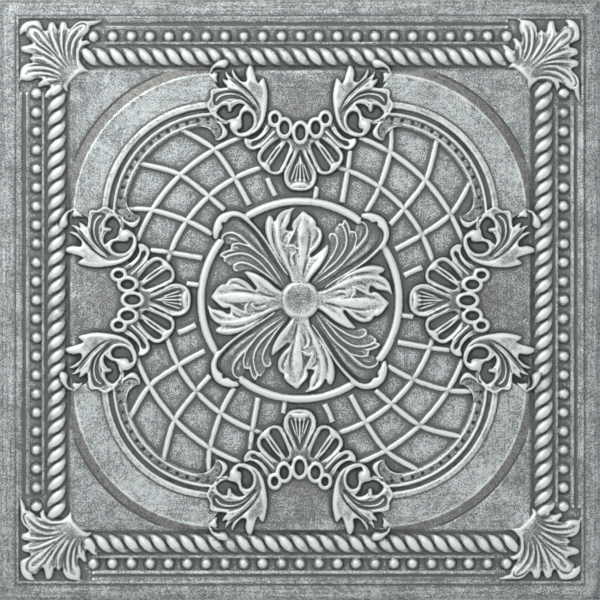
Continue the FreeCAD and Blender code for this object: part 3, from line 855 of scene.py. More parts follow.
    SHELL_RIM = trace(284.5, 172, 284.3, 178, 286, 184, 289, 187.5, 294, 189.6, 300, 190, 305.4, 189.6, 310.4, 187.5,
        313.4, 184, 315.1, 178, 314.9, 172)
    SHELL_LIP = trace(290, 186.3, 295, 185.2, 300, 184.6, 304.4, 185.2, 309.4, 186.3)

    def draw(self, relief: Relief) -> None:
        """Draws the cartouche of the upper side.

        Args:
            relief: The face.
        """
        for side in (list, mirrored):
            self.scroll(relief, side)
        self.shell(relief)

    def scroll(self, relief: Relief, side: Callable[..., list[Point]]) -> None:
        """Draws one scroll.

        Args:
            relief: The face.
            side: Leaves points as they are, or mirrors them.
        """
        relief.sink(side(self.HOLLOW), self.pocket - 0.6, 2.0)
        relief.level(side(self.LEAF), self.body, 2.2)
        relief.lobe(side(self.TOP_KNOB), self.knob, 3)
        relief.lobe(side(self.TOP_TAIL), 5.8, 1.6)
        relief.settle()
        relief.stroke(side(self.SHOULDER), 3.5, 1.2, Ends.LAST)
        relief.settle()
        relief.sink(side(self.BROAD_TROUGH), self.trough + 1.2, 2.0)
        relief.sink(side(self.LONG_TROUGH), self.trough + 1.4, 1.6)
        for dark in self.POCKETS:
            relief.sink(side(dark), self.pocket, 1.9)
        relief.settle()
        relief.ridges(1.4, self.line, side(self.TROUGH_RIB), ends=Ends.LAST)
        relief.ridges(1.3, self.line, *map(side, self.SCROLL_LINES))
        relief.stroke(side(self.POCKET_POST), 1.3, 2.8, Ends.LAST)
        relief.stroke(side(self.LEAF_RIB), 2.4, self.line)
        relief.lobe(side(self.OUTER_LEAF), self.body + 1.8, 4.5)
        relief.lobe(side(self.VOLUTE_BALL), self.knob, 4.6)

    def shell(self, relief: Relief) -> None:
        """Draws the fluted shell with its collar of ovals.

        Args:
            relief: The face.
        """
        for side in (list, mirrored):
            relief.lobe(side(self.SIDE_WING), 5.6, 2.2)
            relief.lobe(side(self.WING), 5.8, 2.2)
        relief.lobe(self.MIDDLE_FLUTE, 6.0, 2.2)
        relief.settle()
        for side in (list, mirrored):
            relief.sink(side(self.UPPER_TROUGH), self.trough, 2.6)
            relief.sink(side(self.LOWER_TROUGH), self.trough, 2.6)
            relief.sink(side(self.SIDE_TROUGH), self.trough, 2.0)
        relief.sink(self.MIDDLE_TROUGH, self.trough + 0.9, 3.0)
        relief.settle()
        for side in (list, mirrored):
            relief.ridges(1.2, 1.2, *map(side, self.FLUTE_LINES))
            relief.ridges(1.6, 1.4, *map(side, self.WING_RIMS), ends=Ends.BLUNT)
            relief.stroke(side(self.WING_NOTCH), 2.6, 1.3)
            relief.ridges(1.5, -1.5, *map(side, self.FLUTE_CUTS))
            relief.ridges(1.3, 1.9, *map(side, self.RAYS), ends=Ends.FIRST)
        relief.stroke(self.MIDDLE_RAY, 1.4, 2.2, Ends.FIRST)
        relief.stroke(self.SHELL_RIM, 1.8, 1.4, Ends.BLUNT)
        relief.stroke(self.SHELL_LIP, 3.6, 1.5)
        for x, y, half_width, half_height in self.ovals:
            relief.lobe(ellipse(x, y, half_width + self.collar_width, half_height + self.collar_width), self.collar,
                3.0)
        relief.settle()
        for x, y, half_width, half_height in self.ovals:
            relief.sink(ellipse(x, y, half_width + 0.9, half_height + 0.9), self.pocket + 1.2, 1.9)


@dataclass
class Rosette:
    """The four acanthus petals, the four fluted fans between them and the dished boss."""

    petal: float = 5.4
    fan: float = 2.9
    line: float = 1.5
    cut: float = 1.6
    boss: float = 6.5
    dish: float = 5.6
    crest: float = 16.2

    FAN = trace(213, 237, 212.5, 230, 214, 223, 218, 216.5, 224, 213, 232, 211, 238, 212, 243, 215, 248, 220,
        254, 227, 260, 234, 265, 241, 270, 248, 275, 257, 280, 264, 288, 276, 292, 292, 284, 291, 272, 283, 262, 276,
        252, 271.5, 244, 270.5, 238, 272, 233.5, 270.5, 232.5, 266.5, 228, 265, 223.5, 261.5, 222.5, 258, 219, 255.5,
        222, 251.5, 229, 249, 230, 245.5, 225, 244, 221, 240)
    FAN_FOLD = trace(229, 231, 237, 234, 244, 239.5, 251, 246.5, 262, 257)
    FAN_SWELL = trace(234, 225, 243, 229, 252, 237, 262, 249, 273, 264)
    FAN_TIPS = (
        trace(226, 238, 233, 239, 241, 242),
        trace(230, 247.5, 235, 247.5, 239, 249))
    FAN_GROOVE = trace(225, 226.5, 231, 220.5, 238, 220.5, 246, 225, 254, 233, 262, 243.5, 271, 258, 280, 271,
        287, 283)
    FAN_LINES = (
        trace(223, 242, 221.8, 239, 223, 235.5, 228, 233, 235, 234, 243, 239.5, 251, 246.5),
        trace(231.5, 249, 231, 247, 233, 244.5, 238, 243.5, 243, 244.5, 250, 247, 257, 252, 264, 258, 270, 265,
            277, 275, 284, 286, 288, 290),
        trace(224, 257, 220, 255.5, 225, 252, 231, 250.5, 238, 250.5),
        trace(224.5, 261, 224, 259, 228, 256, 235, 254, 241, 253.5, 248, 255, 255, 259, 262, 265, 268, 272, 276, 281,
            284, 289),
        trace(236, 271, 233.8, 269.5, 233, 267, 236, 264, 241, 262.5, 248, 264, 255, 267.5, 262, 272, 269, 277,
            276, 283, 283, 289))
    FAN_EDGE = trace(213.5, 239, 212, 231, 213.5, 223.5, 217.5, 216.5, 223.5, 212.5, 232, 210.5, 239, 211.5, 245, 215,
        252, 222, 259, 230, 266, 239.5, 273, 251, 281, 264, 288, 274.5, 286, 274.5, 279, 265, 271, 252.5, 264, 241.5,
        257, 232.5, 250, 225.5, 244, 220.5, 239, 217.7, 233, 217, 229, 219, 226, 222.7, 222, 223.5, 222.3, 228,
        219.5, 232.5, 217.5, 238)
    PETAL = trace(268.5, 215.3, 265.5, 220, 264.3, 228, 265.5, 236, 269, 245, 273, 252, 278, 259.5, 283.5, 267,
        289, 276, 293, 290, 306, 290, 309, 281, 313, 275, 318, 269.5, 323, 262, 327, 254, 328.3, 248, 327.3, 244.5,
        324, 246.5, 320, 250, 315, 254, 311, 256.5, 310.5, 254.5, 315, 250.5, 319, 245.5, 321.7, 239, 321.7, 233,
        319.8, 228.5, 316, 225.5, 315.8, 222.5, 313, 218.5, 308, 214.5, 302.3, 211, 297.5, 216, 292.5, 221.5,
        291, 226, 291.5, 230, 286, 229, 289.5, 222, 291, 213, 294.5, 207.8, 287, 209, 281, 211.5, 277, 215.5,
        274, 220.5, 272, 217)
    PETAL_SPINE = trace(302.7, 217, 302.2, 230, 302, 245, 301, 262, 300, 276)
    PETAL_FOLDS = (
        trace(268.5, 217, 268, 230, 271, 242, 277, 254, 286, 268),
        trace(279, 215, 277, 228, 278, 242, 284, 258, 292, 276),
        trace(326, 248, 320, 260, 312, 270, 304, 284),
        trace(312, 219, 312, 226),
        trace(320, 231, 319.5, 238, 314, 246))
    PETAL_EYE = trace(294.3, 231.5, 290.5, 238.5, 286.8, 246.5, 290, 244.3, 294.5, 244.8, 296, 240, 295.5, 234)
    PETAL_CUTS = (
        trace(273.3, 217.5, 272.8, 226, 272.4, 236, 274.5, 246, 279, 256, 285, 266, 291, 276),
        trace(289, 211.5, 284.5, 216, 281.5, 222, 280.5, 228),
        trace(289, 231.5, 284.5, 235, 282.5, 239.5, 283, 244),
        trace(300, 220.5, 296.7, 227, 295.8, 238, 297, 251, 299, 263),
        trace(306.5, 224, 309, 232, 309, 242, 306.5, 254, 303, 267),
        trace(314, 228.5, 316.5, 232, 316.5, 237, 313.5, 242.5, 310.5, 248),
        trace(287, 250, 288.5, 254, 288.5, 261, 292, 270),
        trace(297.5, 251.5, 294, 254, 294, 260, 296.5, 268),
        trace(309.5, 255, 306.5, 261, 303.5, 270, 303, 278))
    PETAL_LINES = (
        trace(285, 248.7, 289, 246, 293, 246, 296, 248, 299, 250),
        trace(294.3, 231, 290, 238.5, 286.5, 246, 284.5, 250),
        trace(302.3, 212.5, 297.5, 217.5, 293.3, 222.5, 292, 228),
        trace(303, 213, 308.5, 216, 313, 219.8, 314.8, 224, 313.5, 229),
        trace(316.5, 226.8, 319.3, 229.3, 320.6, 234, 320, 239.5, 316.5, 245, 311, 250, 308, 256),
        trace(275.3, 221.5, 278, 216.5, 282, 212.8, 287, 210.3, 293, 208.8),
        trace(290, 259, 292.5, 254, 297, 251.2),
        trace(326.8, 246.5, 326, 253, 322, 261, 317, 268, 311, 275, 307, 283))

    def draw_fan(self, relief: Relief) -> None:
        """Draws the fan on the upper left diagonal.

        Args:
            relief: The face.
        """
        relief.level(self.FAN, self.fan, 2.2)
        relief.settle()
        relief.ridges(3.2, 1.5, self.FAN_FOLD)
        relief.ridges(3.0, 0.6, self.FAN_SWELL)
        relief.ridges(2.0, 0.8, *self.FAN_TIPS)
        relief.ridges(2.2, -1.1, self.FAN_GROOVE)
        relief.settle()
        relief.ridges(1.25, self.line, *self.FAN_LINES, ends=Ends.LAST)
        relief.settle()
        relief.lobe(self.FAN_EDGE, 6.6, 2.6)

    def draw_petal(self, relief: Relief) -> None:
        """Draws the petal above the boss.

        Args:
            relief: The face.
        """
        relief.lobe(self.PETAL, self.petal, 2.6)
        relief.settle()
        relief.stroke(self.PETAL_SPINE, 5.2, 1.3, Ends.BOTH, Section.ROUND)
        relief.ridges(3.4, 1.4, *self.PETAL_FOLDS)
        relief.settle()
        relief.sink(self.PETAL_EYE, 3.0, 1.8)
        relief.settle()
        relief.ridges(1.6, -self.cut, *self.PETAL_CUTS)
        relief.ridges(1.3, self.line, *self.PETAL_LINES)

    def draw_boss(self, relief: Relief) -> None:
        """Draws the dished boss in the middle.

        Args:
            relief: The face.
        """
        away = relief.away()
        steps = [(0, self.dish), (9.5, self.dish + 0.1), (14.0, self.boss - 0.3), (self.crest, self.boss),
            (17.6, self.boss - 0.5), (19.6, 4.6), (21.2, 0)]
        dome = read(steps, away)
        relief.z = np.where(away < self.crest, dome, np.maximum(relief.z, dome))


@dataclass
class Rounds:
    """What repeats: the beads, the rope's strands, the lattice's ribs and hoops, and the band's dots."""

    material: bpy.types.Material
    unit: float
    lift: float
    bead_pitch: float = 18.75
    beads: int = 23
    bead_inset: float = 36.6
    bead_radius: float = 5.8
    bead_height: float = 4.6
    bead_foot: float = 0.5
    strand_pitch: float = 14.05
    strands: int = 31
    rope_inset: float = 56.7
    strand_run: float = 22.0
    strand_sweep: float = 8.0
    strand_half: float = 5.3
    strand_height: float = 6.6
    strand_foot: float = 0.6
    hoops: tuple[tuple[float, float, float], ...] = ((173.0, 107.5, 160), (138.0, 104, 164))
    rib_half: float = 3.2
    rib_top: float = 4.4
    rib_foot: float = 1.6
    band_radius: float = 96.0
    band_start: float = 88.0
    band_sweep: float = 94.0
    dot_radius: float = 2.3
    dot_depth: float = 1.2
    dots: int = 16

    RIBS = (
        trace(124.5, 209, 152, 210, 187, 221, 212, 234),
        trace(138.5, 163, 178, 174, 208, 196, 224, 210),
        trace(180.5, 129, 213, 149, 234, 178, 249, 205),
        trace(150, 250, 170, 252.5, 202, 258),
        trace(267, 178, 270, 186, 275, 196),
        trace(186, 283.5, 199, 285))

    def host(self, name: str) -> bpy.types.Object:
        """An empty object to carry a tree.

        Args:
            name: Its name.

        Returns:
            The object.
        """
        return linked(name, bpy.data.meshes.new(name))

    def row(self, tree: Tree, shape: bpy.types.NodeSocket) -> bpy.types.NodeSocket:
        """Sets a shape along one side and repeats the side four times.

        Args:
            tree: The tree.
            shape: What to repeat.

        Returns:
            Instances on all four sides.
        """
        half = tree.maths("MULTIPLY", tree.maths("SUBTRACT", tree.size("Count"), 1.0), 0.5)
        first = tree.maths("MULTIPLY", tree.maths("MULTIPLY", half, tree.size("Pitch")), -1.0)
        start = tree.node("ShaderNodeCombineXYZ", {}, {
            "X": first, "Y": tree.size("Out"), "Z": tree.size("Foot")})
        pace = tree.node("ShaderNodeCombineXYZ", {}, {"X": tree.size("Pitch")})
        line = tree.node("GeometryNodeMeshLine", {"mode": "OFFSET"}, {
            "Count": tree.size("Count"), "Start Location": start.outputs[0], "Offset": pace.outputs[0]})
        placed = tree.node("GeometryNodeInstanceOnPoints", {}, {"Points": line.outputs[0], "Instance": shape})
        return tree.quarter_turns(placed.outputs[0])

    def dome(self, tree: Tree) -> bpy.types.NodeSocket:
        """A rounded dome with its own radius and height.

        Args:
            tree: The tree, which has those sizes as inputs.

        Returns:
            The dome.
        """
        ball = tree.node("GeometryNodeMeshUVSphere", {}, {"Segments": 24, "Rings": 14, "Radius": 1.0})
        scale = tree.node("ShaderNodeCombineXYZ", {}, {
            "X": tree.size("Radius"), "Y": tree.size("Radius"), "Z": tree.size("Height")})
        return tree.node("GeometryNodeTransform", {}, {"Geometry": ball.outputs[0],
            "Scale": scale.outputs[0]}).outputs[0]

    def strand(self, tree: Tree) -> bpy.types.NodeSocket:
        """One strand of the rope, wound half a turn from the rope's one edge to the other.

        Args:
            tree: The tree, which has the strand's sizes as inputs.

        Returns:
            The strand, its top at height one.
        """
        line = tree.node("GeometryNodeResampleCurve", {}, {
            "Curve": tree.node("GeometryNodeCurvePrimitiveLine", {}, {}).outputs[0], "Count": 17})
        along = tree.node("GeometryNodeSplineParameter", {}, {}).outputs["Factor"]
        angle = tree.maths("MULTIPLY", along, math.pi)
        bulge = tree.maths("SINE", angle, 0.0)
        spot = tree.node("ShaderNodeCombineXYZ", {}, {
            "X": tree.maths("MULTIPLY", tree.maths("SUBTRACT", along, 0.5), tree.size("Run")),
            "Y": tree.maths("MULTIPLY", tree.maths("COSINE", angle, 0.0), tree.size("Sweep")),
            "Z": tree.maths("MULTIPLY", bulge, tree.maths("MULTIPLY", tree.size("Half Width"), 0.5))})
        wound = tree.node("GeometryNodeSetPosition", {}, {"Geometry": line.outputs[0], "Position": spot.outputs[0]})
        section = tree.node("GeometryNodeCurvePrimitiveCircle", {}, {"Resolution": 16,
            "Radius": tree.size("Half Width")})
        swell = tree.maths("ADD", tree.maths("MULTIPLY", bulge, 0.8), 0.2)
        thick = tree.node("GeometryNodeSetCurveRadius", {}, {"Curve": wound.outputs[0], "Radius": swell})
        tube = tree.node("GeometryNodeCurveToMesh", {}, {
            "Curve": thick.outputs[0], "Profile Curve": section.outputs[0], "Fill Caps": True})
        if "Scale" in tube.inputs:
            tree.group.links.new(swell, tube.inputs["Scale"])
        press = tree.maths("DIVIDE", tree.size("Height"), tree.maths("MULTIPLY", tree.size("Half Width"), 1.5))
        scale = tree.node("ShaderNodeCombineXYZ", {}, {"X": 1.0, "Y": 1.0, "Z": press})
        return tree.node("GeometryNodeTransform", {}, {"Geometry": tube.outputs[0],
            "Scale": scale.outputs[0]}).outputs[0]

    def bead_rows(self) -> bpy.types.Object:
        """The beads of all four sides.

        Returns:
            Their die.
        """
        u = self.unit * MM
        tree = Tree("bead_rows", {
            "Count": self.beads, "Pitch": self.bead_pitch * u, "Out": (DRAWING_SIDE / 2 - self.bead_inset) * u,
            "Foot": self.lift + self.bead_foot * MM, "Radius": self.bead_radius * u,
            "Height": (self.bead_height - self.bead_foot) * MM, "Material": self.material})
        tree.close(self.row(tree, self.dome(tree)))
        return linked("bead_die", tree.run(self.host("bead_host")))

    def rope_strands(self) -> bpy.types.Object:
        """The strands of the rope on all four sides.

        Returns:
            Their die.
        """
        u = self.unit * MM
        tree = Tree("rope_strands", {"Count": self.strands, "Pitch": self.strand_pitch * u,
            "Out": (DRAWING_SIDE / 2 - self.rope_inset) * u, "Foot": self.lift + self.strand_foot * MM,
            "Run": self.strand_run * u, "Sweep": self.strand_sweep * u, "Half Width": self.strand_half * u,
            "Height": (self.strand_height - self.strand_foot) * MM, "Material": self.material})
        tree.close(self.row(tree, self.strand(tree)))
        return linked("rope_die", tree.run(self.host("rope_host")))

    def lattice(self) -> bpy.types.Object:
        """The lattice's hoops and ribs in all four quarters.

        Returns:
            Their die.
        """
        lines = [flowing([self.around(radius, a) for a in np.linspace(low, high, 12)])
                 for radius, low, high in self.hoops]
        lines += [flowing(line) for line in self.RIBS]
        curve = bpy.data.curves.new("lattice_spines", "CURVE")
        curve.dimensions = "3D"
        for line in lines:
            spline = curve.splines.new("POLY")
            spline.points.add(len(line) - 1)
            for spot, (x, y) in zip(spline.points, line):
                spot.co = ((x - CENTRE_X) * self.unit * MM, (CENTRE_Y - y) * self.unit * MM, 0.0, 1.0)
        host = linked("lattice_host", curve)
        tree = Tree("lattice_ribs", {"Half Width": self.rib_half * self.unit * MM,
            "Foot": self.lift + self.rib_foot * MM, "Height": (self.rib_top - self.rib_foot) * MM,
            "Material": self.material})
        section = tree.node("GeometryNodeCurvePrimitiveCircle", {}, {"Resolution": 14,
            "Radius": tree.size("Half Width")})
        tube = tree.node("GeometryNodeCurveToMesh", {}, {
            "Curve": tree.entry.outputs["Geometry"], "Profile Curve": section.outputs[0], "Fill Caps": True})
        squash = tree.node("ShaderNodeCombineXYZ", {}, {
            "X": 1.0, "Y": 1.0, "Z": tree.maths("DIVIDE", tree.size("Height"), tree.size("Half Width"))})
        lift = tree.node("ShaderNodeCombineXYZ", {}, {"Z": tree.size("Foot")})
        shaped = tree.node("GeometryNodeTransform", {}, {
            "Geometry": tube.outputs[0], "Scale": squash.outputs[0], "Translation": lift.outputs[0]})
        tree.close(tree.quarter_turns(shaped.outputs[0]))
        made = linked("lattice_die", tree.run(host))
        bpy.data.objects.remove(host)
        return made

    def around(self, radius: float, degrees: float) -> Point:
        """A point on a circle about the tile's middle, in drawing units."""
        angle = math.radians(degrees)
        return (CENTRE_X + radius * math.cos(angle), CENTRE_Y - radius * math.sin(angle))

    def dot_rows(self, offset: float) -> bpy.types.Object:
        """The dots of the four bands.

        Args:
            offset: How far each lobe's middle lies from the tile's axes, in drawing units.

        Returns:
            Their die, whose height above zero is how deep each dot goes.
        """
        u = self.unit * MM
        tree = Tree("band_dots", {"Count": self.dots, "Band Radius": self.band_radius * u, "Offset": offset * u,
            "Radius": self.dot_radius * u, "Height": self.dot_depth * MM, "Material": self.material})
        arc = tree.node("GeometryNodeCurveArc", {"mode": "RADIUS"}, {
            "Radius": tree.size("Band Radius"), "Start Angle": math.radians(self.band_start),
            "Sweep Angle": math.radians(self.band_sweep)})
        spots = tree.node("GeometryNodeCurveToPoints", {"mode": "COUNT"}, {
            "Curve": arc.outputs[0], "Count": tree.size("Count")})
        placed = tree.node("GeometryNodeInstanceOnPoints", {}, {
            "Points": spots.outputs[0], "Instance": self.dome(tree)})
        shift = tree.node("ShaderNodeCombineXYZ", {}, {
            "X": tree.maths("MULTIPLY", tree.size("Offset"), -1.0), "Y": tree.size("Offset")})
        moved = tree.node("GeometryNodeTransform", {}, {
            "Geometry": placed.outputs[0], "Translation": shift.outputs[0]})
        tree.close(tree.quarter_turns(moved.outputs[0]))
        return linked("dot_die", tree.run(self.host("dot_host")))


class Signal:
    """A shader socket that takes part in sums."""

    def __init__(self, shader: "Shader", socket: bpy.types.NodeSocket) -> None:
        """Wraps a socket of a shader."""
        self.shader, self.socket = shader, socket

    def combine(self, operation: str, a: Any, b: Any) -> "Signal":
        """The result of a Math node on two values."""
        return self.shader.node("ShaderNodeMath", {"operation": operation}, {0: a, 1: b})

    def __add__(self, other: Any) -> "Signal":
        """This plus the other."""
        return self.combine("ADD", self, other)

    __radd__ = __add__

    def __mul__(self, other: Any) -> "Signal":
        """This times the other."""
        return self.combine("MULTIPLY", self, other)

    __rmul__ = __mul__

    def __sub__(self, other: Any) -> "Signal":
        """This less the other."""
        return self.combine("SUBTRACT", self, other)

    def __rsub__(self, other: Any) -> "Signal":
        """The other less this."""
        return self.combine("SUBTRACT", other, self)

    def between(self, low: float, high: float, to_low: float = 0.0, to_high: float = 1.0) -> "Signal":
        """This mapped from one range to another, kept inside it.

        Args:
            low: Value that gives to_low.
            high: Value that gives to_high.
            to_low: First result.
            to_high: Last result.

        Returns:
            The mapped value.
        """
        return self.shader.node("ShaderNodeMapRange", {"clamp": True, "interpolation_type": "SMOOTHSTEP"}, {
            "Value": self, "From Min": low, "From Max": high, "To Min": to_low, "To Max": to_high})


class Shader:
    """A material's node tree under construction."""

    def __init__(self, name: str) -> None:
        """Starts an empty material.

        Args:
            name: The material's name.
        """
        self.material = bpy.data.materials.new(name)
        self.material.use_nodes = True
        self.tree = self.material.node_tree
        self.tree.nodes.clear()

    def node(self, kind: str, settings: dict[str, Any], inputs: dict[Any, Any], output: Any = 0) -> Signal:
        """Adds a node.

        Args:
            kind: The node's type.
            settings: Properties set first.
            inputs: Values or links of its sockets.
            output: Which output to return.

        Returns:
            That output.
        """
        made = self.tree.nodes.new(kind)
        for key, value in settings.items():
            setattr(made, key, value)
        for key, value in inputs.items():
            if isinstance(value, Signal):
                self.tree.links.new(value.socket, made.inputs[key])
            else:
                made.inputs[key].default_value = value
        return Signal(self, made.outputs[output])

    def finished(self, shine: Signal) -> bpy.types.Material:
        """Links a shader to the material's output.

        Args:
            shine: The shader.

        Returns:
            The finished material.
        """
        leave = self.tree.nodes.new("ShaderNodeOutputMaterial")
        self.tree.links.new(shine.socket, leave.inputs["Surface"])
        return self.material

    def mix(self, factor: Any, a: Any, b: Any) -> Signal:
        """A colour between two colours.

        Args:
            factor: How far from the first to the second.
            a: First colour.
            b: Second colour.

        Returns:
            The mixed colour.
        """
        return self.node("ShaderNodeMix", {"data_type": "RGBA"}, {0: factor, 6: a, 7: b}, 2)

    def attribute(self, name: str) -> Signal:
        """A value stored on the mesh."""
        return self.node("ShaderNodeAttribute", {"attribute_name": name}, {}, "Fac")

    def noise(self, where: Signal, scale: float, detail: float, rough: float = 0.5) -> Signal:
        """Noise at a scale.

        Args:
            where: Coordinates.
            scale: Cells in a metre.
            detail: Octaves.
            rough: How strong the finer octaves are.

        Returns:
            The noise from 0 to 1.
        """
        return self.node("ShaderNodeTexNoise", {"normalize": True}, {
            "Vector": where, "Scale": scale, "Detail": detail, "Roughness": rough})


Colour = tuple[float, float, float, float]


@dataclass(frozen=True)
class AntiqueSilver:
    """Silver paint rubbed bright on the raised work and left dark in the hollows, with a painted highlight on the
    raised work and painted shade in the hollows as well.
    """

    # bright is partly rubbed silver and partly a painted highlight; dark and black are partly antique glaze and
    # partly painted shade.
    bright: Colour = (0.83, 0.868, 0.862, 1.0)
    middle: Colour = (0.17, 0.186, 0.187, 1.0)
    dark: Colour = (0.122, 0.133, 0.131, 1.0)
    black: Colour = (0.045, 0.049, 0.049, 1.0)
    washed: Colour = (0.148, 0.16, 0.158, 1.0)
    warm: Colour = (0.30, 0.287, 0.264, 1.0)
    warm_dark: Colour = (0.12, 0.114, 0.103, 1.0)
    pale: Colour = (0.66, 0.71, 0.714, 1.0)
    metallic: float = 0.55
    grain_scale: float = 900.0
    rub_scale: float = 170.0
    cloud_scale: float = 34.0
    streak_scale: Point = (14.0, 480.0)
    lit: Point = (0.08, 0.74)
    dim: Point = (-0.04, -0.5)
    deep: Point = (-0.8, -1.45)

    def material(self) -> bpy.types.Material:
        """Builds the material.

        Returns:
            The finished material.
        """
        s = Shader("antique_silver")
        place = s.node("ShaderNodeTexCoord", {}, {}, "Object")
        tone = s.attribute("tone")
        warm = s.attribute("warm")
        wash = s.attribute("wash")
        wipe_and_shade = s.attribute("wipe_and_shade")
        brushed = s.attribute("brushed")
        # Turned, as noise cut along one of its own planes loses contrast.
        turned = s.node("ShaderNodeMapping", {}, {"Vector": place, "Rotation": (0.5, 0.3, 0.6)})
        grain = s.noise(turned, self.grain_scale, 2.0, 0.62)
        cloud = s.noise(place, self.cloud_scale, 4.0, 0.62)
        rubbed = s.noise(place, self.rub_scale, 3.0, 0.6)
        streak = [s.noise(s.node("ShaderNodeMapping", {}, {"Vector": place, "Scale": scale}), 1.0, 2.0)
                  for scale in ((*self.streak_scale, 1.0), (*self.streak_scale[::-1], 1.0))]
        brush = (streak[0] - 0.5) * brushed.between(0.0, 1.0) + (streak[1] - 0.5) * brushed.between(0.0, -1.0)
        mottle = (grain - 0.5) * 5.0 + (rubbed - 0.5) * 1.5
        patch = (cloud - 0.5) * 1.8 + (rubbed - 0.5) * 1.0 + 1.0
        level = tone * patch + mottle * 0.12
        # The flats run from middle to pale with the cleaning of the paint, which also carries painted shade beside
        # raised work and painted shade and highlight across the border.
        flat = s.mix((mottle + (cloud - 0.5) * 1.6 + brush * 1.6 + wipe_and_shade).between(-0.1, 1.0), self.middle, self.pale)
        flat = s.mix(wash * 0.75, flat, self.washed)
        flat = s.mix(warm * 0.8, flat, s.mix((mottle + 0.5).between(0.0, 1.0), self.warm_dark, self.warm))
        # Painted shade and highlight: the tone darkens the hollows to dark and black and lightens the raised work to
        # bright, over the glaze and the rubbing.
        shade = s.mix(level.between(*self.dim), flat, self.dark)
        shade = s.mix(level.between(*self.deep), shade, self.black)
        colour = s.mix(level.between(*self.lit), shade, self.bright)
        rough = cloud * 0.16 + 0.46
        bump = s.node("ShaderNodeBump", {}, {"Strength": 0.16, "Distance": 0.0006, "Height": grain + rubbed * 0.6})
        shine = s.node("ShaderNodeBsdfPrincipled", {}, {
            "Base Color": colour, "Roughness": rough, "Metallic": self.metallic, "Normal": bump})
        return s.finished(shine)


